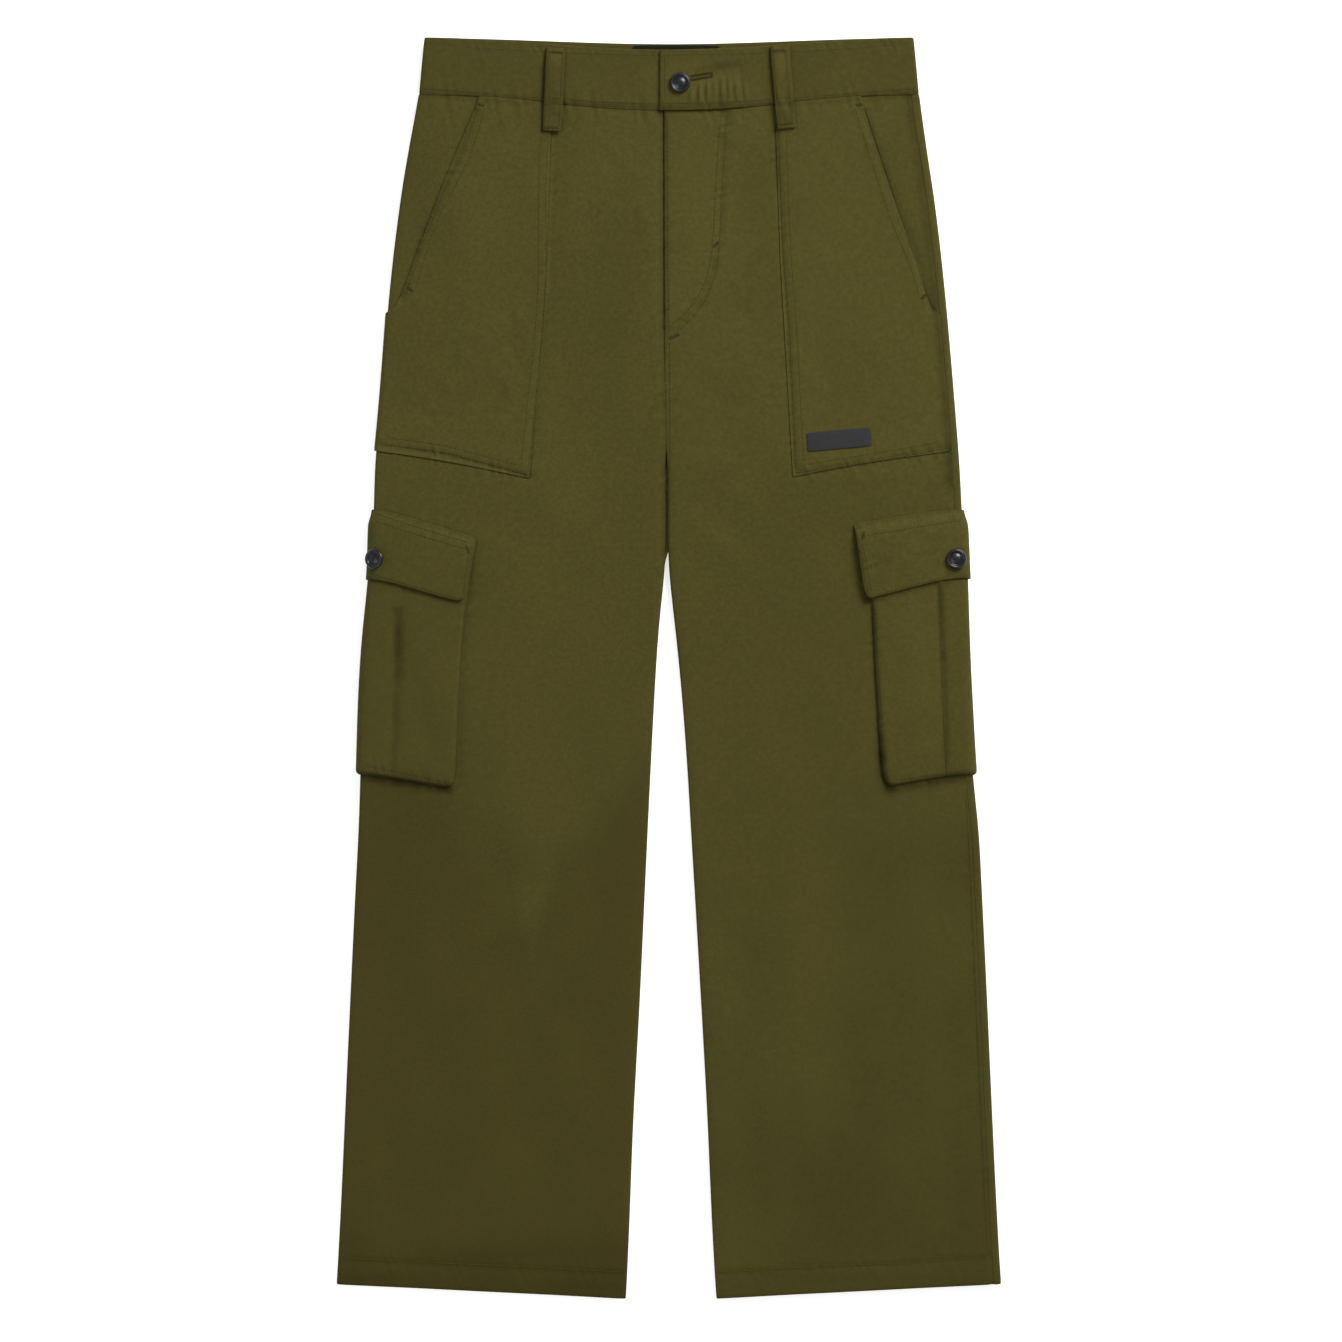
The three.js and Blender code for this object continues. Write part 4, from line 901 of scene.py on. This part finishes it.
# ---------------------------------------------------------------- sewing
def walk_line(line, pitch):
    """Points at an even pitch along a smooth line through the given places."""
    ends = [line[0]] + list(line) + [line[-1]]
    fine = []
    for a, b, c, d in zip(ends, ends[1:], ends[2:], ends[3:]):
        for k in range(CURVE_STEPS):
            t = k / CURVE_STEPS
            fine.append(tuple(
                0.5 * (2 * b[i] + (c[i] - a[i]) * t + (2 * a[i] - 5 * b[i] + 4 * c[i] - d[i]) * t * t
                       + (3 * b[i] - a[i] - 3 * c[i] + d[i]) * t ** 3) for i in (0, 1)))
    fine.append(line[-1])
    walked, left = [fine[0]], pitch
    for (x0, y0), (x1, y1) in zip(fine, fine[1:]):
        length = math.hypot(x1 - x0, y1 - y0)
        at = 0.0
        while length - at >= left:
            at += left
            walked.append((x0 + (x1 - x0) * at / length, y0 + (y1 - y0) * at / length))
            left = pitch
        left -= length - at
    return walked


def sewn_lines():
    """Every sewn line: side, whether it is a bar tack, painted shade of the thread, the line."""
    lines = [
        (side, tack, *row)
        for side, tack, rows in (("front", False, FRONT_ROWS), ("front", True, FRONT_TACKS), ("back", False, BACK_ROWS))
        for row in rows]
    for middle in BACK_LOOPS:
        for x in (middle - BACK_LOOP_HALF, middle + BACK_LOOP_HALF):
            lines.append(("back", False, BACK_LOOP_PAINTED_SHADE, [(x, y) for y in BACK_LOOP_ENDS]))
    return lines


def stitch_shape():
    """One stitch, a unit long along X and a unit across: its points and its faces."""
    bm = bmesh.new()
    bmesh.ops.create_uvsphere(bm, u_segments=6, v_segments=5, radius=0.5, matrix=Matrix.Rotation(math.pi / 2, 4, "Y"))
    bmesh.ops.recalc_face_normals(bm, faces=bm.faces)
    bm.verts.ensure_lookup_table()
    points = np.array([v.co for v in bm.verts])
    faces = [[v.index for v in f.verts] for f in bm.faces]
    bm.free()
    return points, faces


def cloth_surface():
    """What the needle meets: every sewn piece, as one surface."""
    points, faces = [], []
    for piece in bpy.context.scene.objects:
        if piece.name.endswith("_cloth"):
            start = len(points)
            points.extend(v.co for v in piece.data.vertices)
            faces.extend([start + i for i in p.vertices] for p in piece.data.polygons)
    return BVHTree.FromPolygons(points, faces)


def on_cloth(surface, x, y, side):
    """Where the needle meets the cloth from that side, and which way the cloth faces there."""
    outwards = 1 if side == "front" else -1
    inwards = Vector((0, 0, -outwards))
    place, normal, _, _ = surface.ray_cast(Vector((x * MM, y * MM, NEEDLE_HEIGHT * outwards)), inwards)
    if place is None:
        return None, None
    return place, -normal if normal.dot(inwards) > 0 else normal


def stitch_ends(here, there, tack, luck):
    """The two ends of a stitch between two points of a line: along it, or across it in a bar tack."""
    sewing = bpy.context.scene.pants_sewing
    pitch = (sewing.tack_pitch if tack else sewing.pitch) / MM
    (x0, y0), (x1, y1) = here, there
    dx, dy = (x1 - x0) / pitch, (y1 - y0) / pitch
    if tack:
        half = sewing.tack_width / MM / 2
        return (x0 - dy * half, y0 + dx * half), (x1 + dy * half, y1 - dx * half)
    half, skew = sewing.stitch / MM / 2, luck.uniform(-STITCH_SKEW, STITCH_SKEW)
    mx, my = (x0 + x1) / 2, (y0 + y1) / 2
    return ((mx - dx * half + dy * skew, my - dy * half - dx * skew),
            (mx + dx * half - dy * skew, my + dy * half + dx * skew))


def sew(name, lines, surface, material):
    """One joined mesh of all the stitches of some lines."""
    sewing = bpy.context.scene.pants_sewing
    shape, shape_faces = stitch_shape()
    luck = random.Random(len(name) * 7 + 11)
    blocks = []
    for side, tack, _, line in lines:
        walked = walk_line(line, (sewing.tack_pitch if tack else sewing.pitch) / MM)
        for here, there in zip(walked, walked[1:]):
            start, end = stitch_ends(here, there, tack, luck)
            a, normal_a = on_cloth(surface, *start, side)
            b, normal_b = on_cloth(surface, *end, side)
            if a is None or b is None or abs(a.z - b.z) > LONGEST_DROP:
                continue
            along = b - a
            length = along.length
            along.normalize()
            up = (normal_a + normal_b).normalized()
            across = up.cross(along).normalized()
            up = along.cross(across)
            width = sewing.thread * luck.uniform(*THREAD_SPREAD)
            turn = Matrix((along * length, across * width, up * width * THREAD_HEIGHT)).transposed()
            middle = (a + b) / 2 + up * width * (TACK_STANDS if tack else STITCH_STANDS)
            blocks.append(shape @ np.array(turn).T + np.array(middle))
    points = np.concatenate(blocks)
    faces = [[i + k * len(shape) for i in face] for k in range(len(blocks)) for face in shape_faces]
    mesh = bpy.data.meshes.new(name)
    mesh.from_pydata(points.tolist(), [], faces)
    mesh.polygons.foreach_set("use_smooth", [True] * len(faces))
    mesh.update()
    piece = new_object(name, mesh)
    mesh.materials.append(material)
    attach(piece, "root")


# ---------------------------------------------------------------- operators
class PANTS_OT_legs(bpy.types.Operator):
    """Front and back leg panels of creased twill"""
    bl_idname = "pants.legs"
    bl_label = "Legs"

    def execute(self, context):
        step = context.scene.pants_cloth.mesh_step
        for node, turn in (("front_leg_right", 0), ("front_leg_left", 4)):
            sewn_piece(node, "front", step, twill(node + "_twill", turn))
        for node, turn in (("back_leg_right", 0), ("back_leg_left", -4)):
            sewn_piece(node, "back", BACK_LEG_STEP * step, twill(node + "_twill", turn))
        return {"FINISHED"}


class PANTS_OT_waist(bpy.types.Operator):
    """Waistband and its five belt loops"""
    bl_idname = "pants.waist"
    bl_label = "Waistband and loops"

    def execute(self, context):
        step = context.scene.pants_cloth.pocket_step
        # the waistband's cloth is painted a little darker
        sewn_piece("waistband", "band", BAND_STEP * step, twill("waistband_twill", 90, 0.97))
        loop_twill = twill("belt_loop_twill", 12)
        for layer, places in (("front", ("right", "left")), ("back", ("right", "middle", "left"))):
            for place in places:
                sewn_piece(f"belt_loop_{layer}_{place}", layer, step, loop_twill, rim_angle=40)
        return {"FINISHED"}


class PANTS_OT_hip_pockets(bpy.types.Operator):
    """Large patch pockets with a slanted mouth"""
    bl_idname = "pants.hip_pockets"
    bl_label = "Hip pockets"

    def execute(self, context):
        step = HIP_STEP * context.scene.pants_cloth.pocket_step
        for node, turn in (("hip_pocket_right", -3), ("hip_pocket_left", 6)):
            # the hip pockets' cloth is painted a little lighter
            sewn_piece(node, "front", step, twill(node + "_twill", turn, 1.02))
        return {"FINISHED"}


class PANTS_OT_cargo_pockets(bpy.types.Operator):
    """Cargo pocket bodies with a box pleat, and their flaps"""
    bl_idname = "pants.cargo_pockets"
    bl_label = "Cargo pockets"

    def execute(self, context):
        step = CARGO_STEP * context.scene.pants_cloth.pocket_step
        # the wearer's left cargo pocket and flap are painted a little lighter
        for node, turn, painted_shade in (
            ("cargo_pocket_right", 8, 1.0), ("cargo_pocket_left", -6, 1.03),
            ("cargo_flap_right", 14, 1.0), ("cargo_flap_left", -12, 1.03),
        ):
            sewn_piece(node, "wrap", step, twill(node + "_twill", turn, painted_shade))
        return {"FINISHED"}


class PANTS_OT_labels(bpy.types.Operator):
    """Plain woven tag on the left hip pocket and the plain strip inside the waist"""
    bl_idname = "pants.labels"
    bl_label = "Tag and label"

    def execute(self, context):
        cloth = context.scene.pants_cloth
        tag_weave = woven_label("tag_weave", cloth.tag_colour, rib=0.0009, sheen=0.15, gloss=0.3)
        sewn_piece("pocket_tag", "front", TAG_STEP, tag_weave, 60)
        label_weave = woven_label("label_weave", cloth.label_colour, rib=0.0008, sheen=0.02, gloss=0.08)
        sewn_piece("waist_label", "front", LABEL_STEP, label_weave, 60)
        return {"FINISHED"}


class PANTS_OT_buttons(bpy.types.Operator):
    """Dark metal shank buttons with a rolled rim and a domed middle"""
    bl_idname = "pants.buttons"
    bl_label = "Buttons"

    def execute(self, context):
        button = context.scene.pants_button
        metal = dark_metal("button_metal_finish")
        for node, lean, inwards in BUTTONS:
            low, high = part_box(node)
            middle = (low + high) / 2 + Vector((inwards, 0, 0))
            bm = bmesh.new()
            corners = [bm.verts.new((r * button.radius, 0, (h - 0.5) * button.height)) for r, h in BUTTON_SECTION]
            edges = [bm.edges.new(pair) for pair in zip(corners, corners[1:])]
            bmesh.ops.spin(
                bm, geom=corners + edges, axis=(0, 0, 1), cent=(0, 0, 0), steps=BUTTON_STEPS, angle=2 * math.pi,
                use_merge=True)
            bmesh.ops.remove_doubles(bm, verts=bm.verts, dist=WELD)
            bmesh.ops.recalc_face_normals(bm, faces=bm.faces)
            bmesh.ops.transform(
                bm, matrix=Matrix.Translation(middle) @ Matrix.Rotation(math.radians(lean), 4, "Y"), verts=bm.verts)
            mesh = bpy.data.meshes.new(node + "_head")
            bm.to_mesh(mesh)
            bm.free()
            mesh.polygons.foreach_set("use_smooth", [True] * len(mesh.polygons))
            piece = new_object(node + "_head", mesh)
            round_over(piece)
            mesh.materials.append(metal)
            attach(piece, "root")
            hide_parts(node)
        return {"FINISHED"}


class PANTS_OT_sewing(bpy.types.Operator):
    """Rows of stitches and bar tacks along every seam"""
    bl_idname = "pants.sewing"
    bl_label = "Sewing"

    def execute(self, context):
        surface = cloth_surface()
        lines = sewn_lines()
        # one lighter or darker painted copy of the thread for each painted shade
        for painted_shade in sorted({line[2] for line in lines}):
            tag = str(round(painted_shade * 100))
            alike = [line for line in lines if line[2] == painted_shade]
            sew("stitches_" + tag, alike, surface, sewing_thread("thread_" + tag, painted_shade))
        return {"FINISHED"}


class PANTS_OT_studio(bpy.types.Operator):
    """Pale floor, soft light and a camera that looks straight down"""
    bl_idname = "pants.studio"
    bl_label = "Studio"

    def execute(self, context):
        scene, studio = context.scene, context.scene.pants_studio
        camera = bpy.data.cameras.new("studio_camera")
        camera.lens = studio.lens
        camera.sensor_width = 36.0
        camera.clip_end = 100.0
        scene.camera = new_object("studio_camera", camera)
        distance = studio.lens / camera.sensor_width * studio.view_width
        scene.camera.location = (studio.view_x, studio.view_y, distance + CLOTH_TOP)
        bm = bmesh.new()
        bmesh.ops.create_grid(
            bm, x_segments=4, y_segments=4, size=FLOOR_SIZE, matrix=Matrix.Translation((0, 0, FLOOR_HEIGHT)))
        mesh = bpy.data.meshes.new("studio_floor")
        bm.to_mesh(mesh)
        bm.free()
        floor = new_object("studio_floor", mesh)
        mesh.materials.append(studio_paper("studio_paper", studio.floor_colour))
        for name, place, size, share in LIGHTS:
            light = bpy.data.lights.new(name, "AREA")
            light.shape = "SQUARE"
            light.size = size
            light.energy = studio.key * share
            lamp = new_object(name, light)
            lamp.location = place
            lamp.rotation_mode = "QUATERNION"
            lamp.rotation_quaternion = (-Vector(place)).to_track_quat("-Z", "Y")
        scene.world = bpy.data.worlds.new("studio_air")
        scene.world.use_nodes = True
        air = scene.world.node_tree.nodes["Background"]
        feed(scene.world.node_tree, air, {"Color": (1, 1, 1, 1), "Strength": studio.ambient})
        scene.view_settings.view_transform = "Standard"
        return {"FINISHED"}


class PANTS_PT_panel(bpy.types.Panel):
    """Lists the pieces of the pants"""
    bl_idname = "PANTS_PT_panel"
    bl_label = "Cargo Pants"
    bl_space_type = "VIEW_3D"
    bl_region_type = "UI"
    bl_category = "Cargo Pants"

    def draw(self, context):
        for operator in OPERATORS:
            self.layout.operator(operator.bl_idname)
        for group in ("pants_cloth", "pants_sewing", "pants_button", "pants_studio"):
            box = self.layout.box()
            settings = getattr(context.scene, group)
            for key in settings.__annotations__:
                box.prop(settings, key)


OPERATORS = (
    PANTS_OT_studio, PANTS_OT_legs, PANTS_OT_waist, PANTS_OT_hip_pockets, PANTS_OT_cargo_pockets,
    PANTS_OT_labels, PANTS_OT_buttons, PANTS_OT_sewing,
)
SETTINGS = {
    "pants_cloth": PantsClothSettings, "pants_sewing": PantsSewingSettings,
    "pants_button": PantsButtonSettings, "pants_studio": PantsStudioSettings,
}


def register():
    for item in (*SETTINGS.values(), *OPERATORS, PANTS_PT_panel):
        bpy.utils.register_class(item)
    for name, group in SETTINGS.items():
        setattr(bpy.types.Scene, name, bpy.props.PointerProperty(type=group))


def unregister():
    for name in SETTINGS:
        delattr(bpy.types.Scene, name)
    for item in reversed((*SETTINGS.values(), *OPERATORS, PANTS_PT_panel)):
        bpy.utils.unregister_class(item)


def main():
    register()
    for operator in OPERATORS:
        group, name = operator.bl_idname.split(".")
        getattr(getattr(bpy.ops, group), name)()


if __name__ == "__main__":
    main()
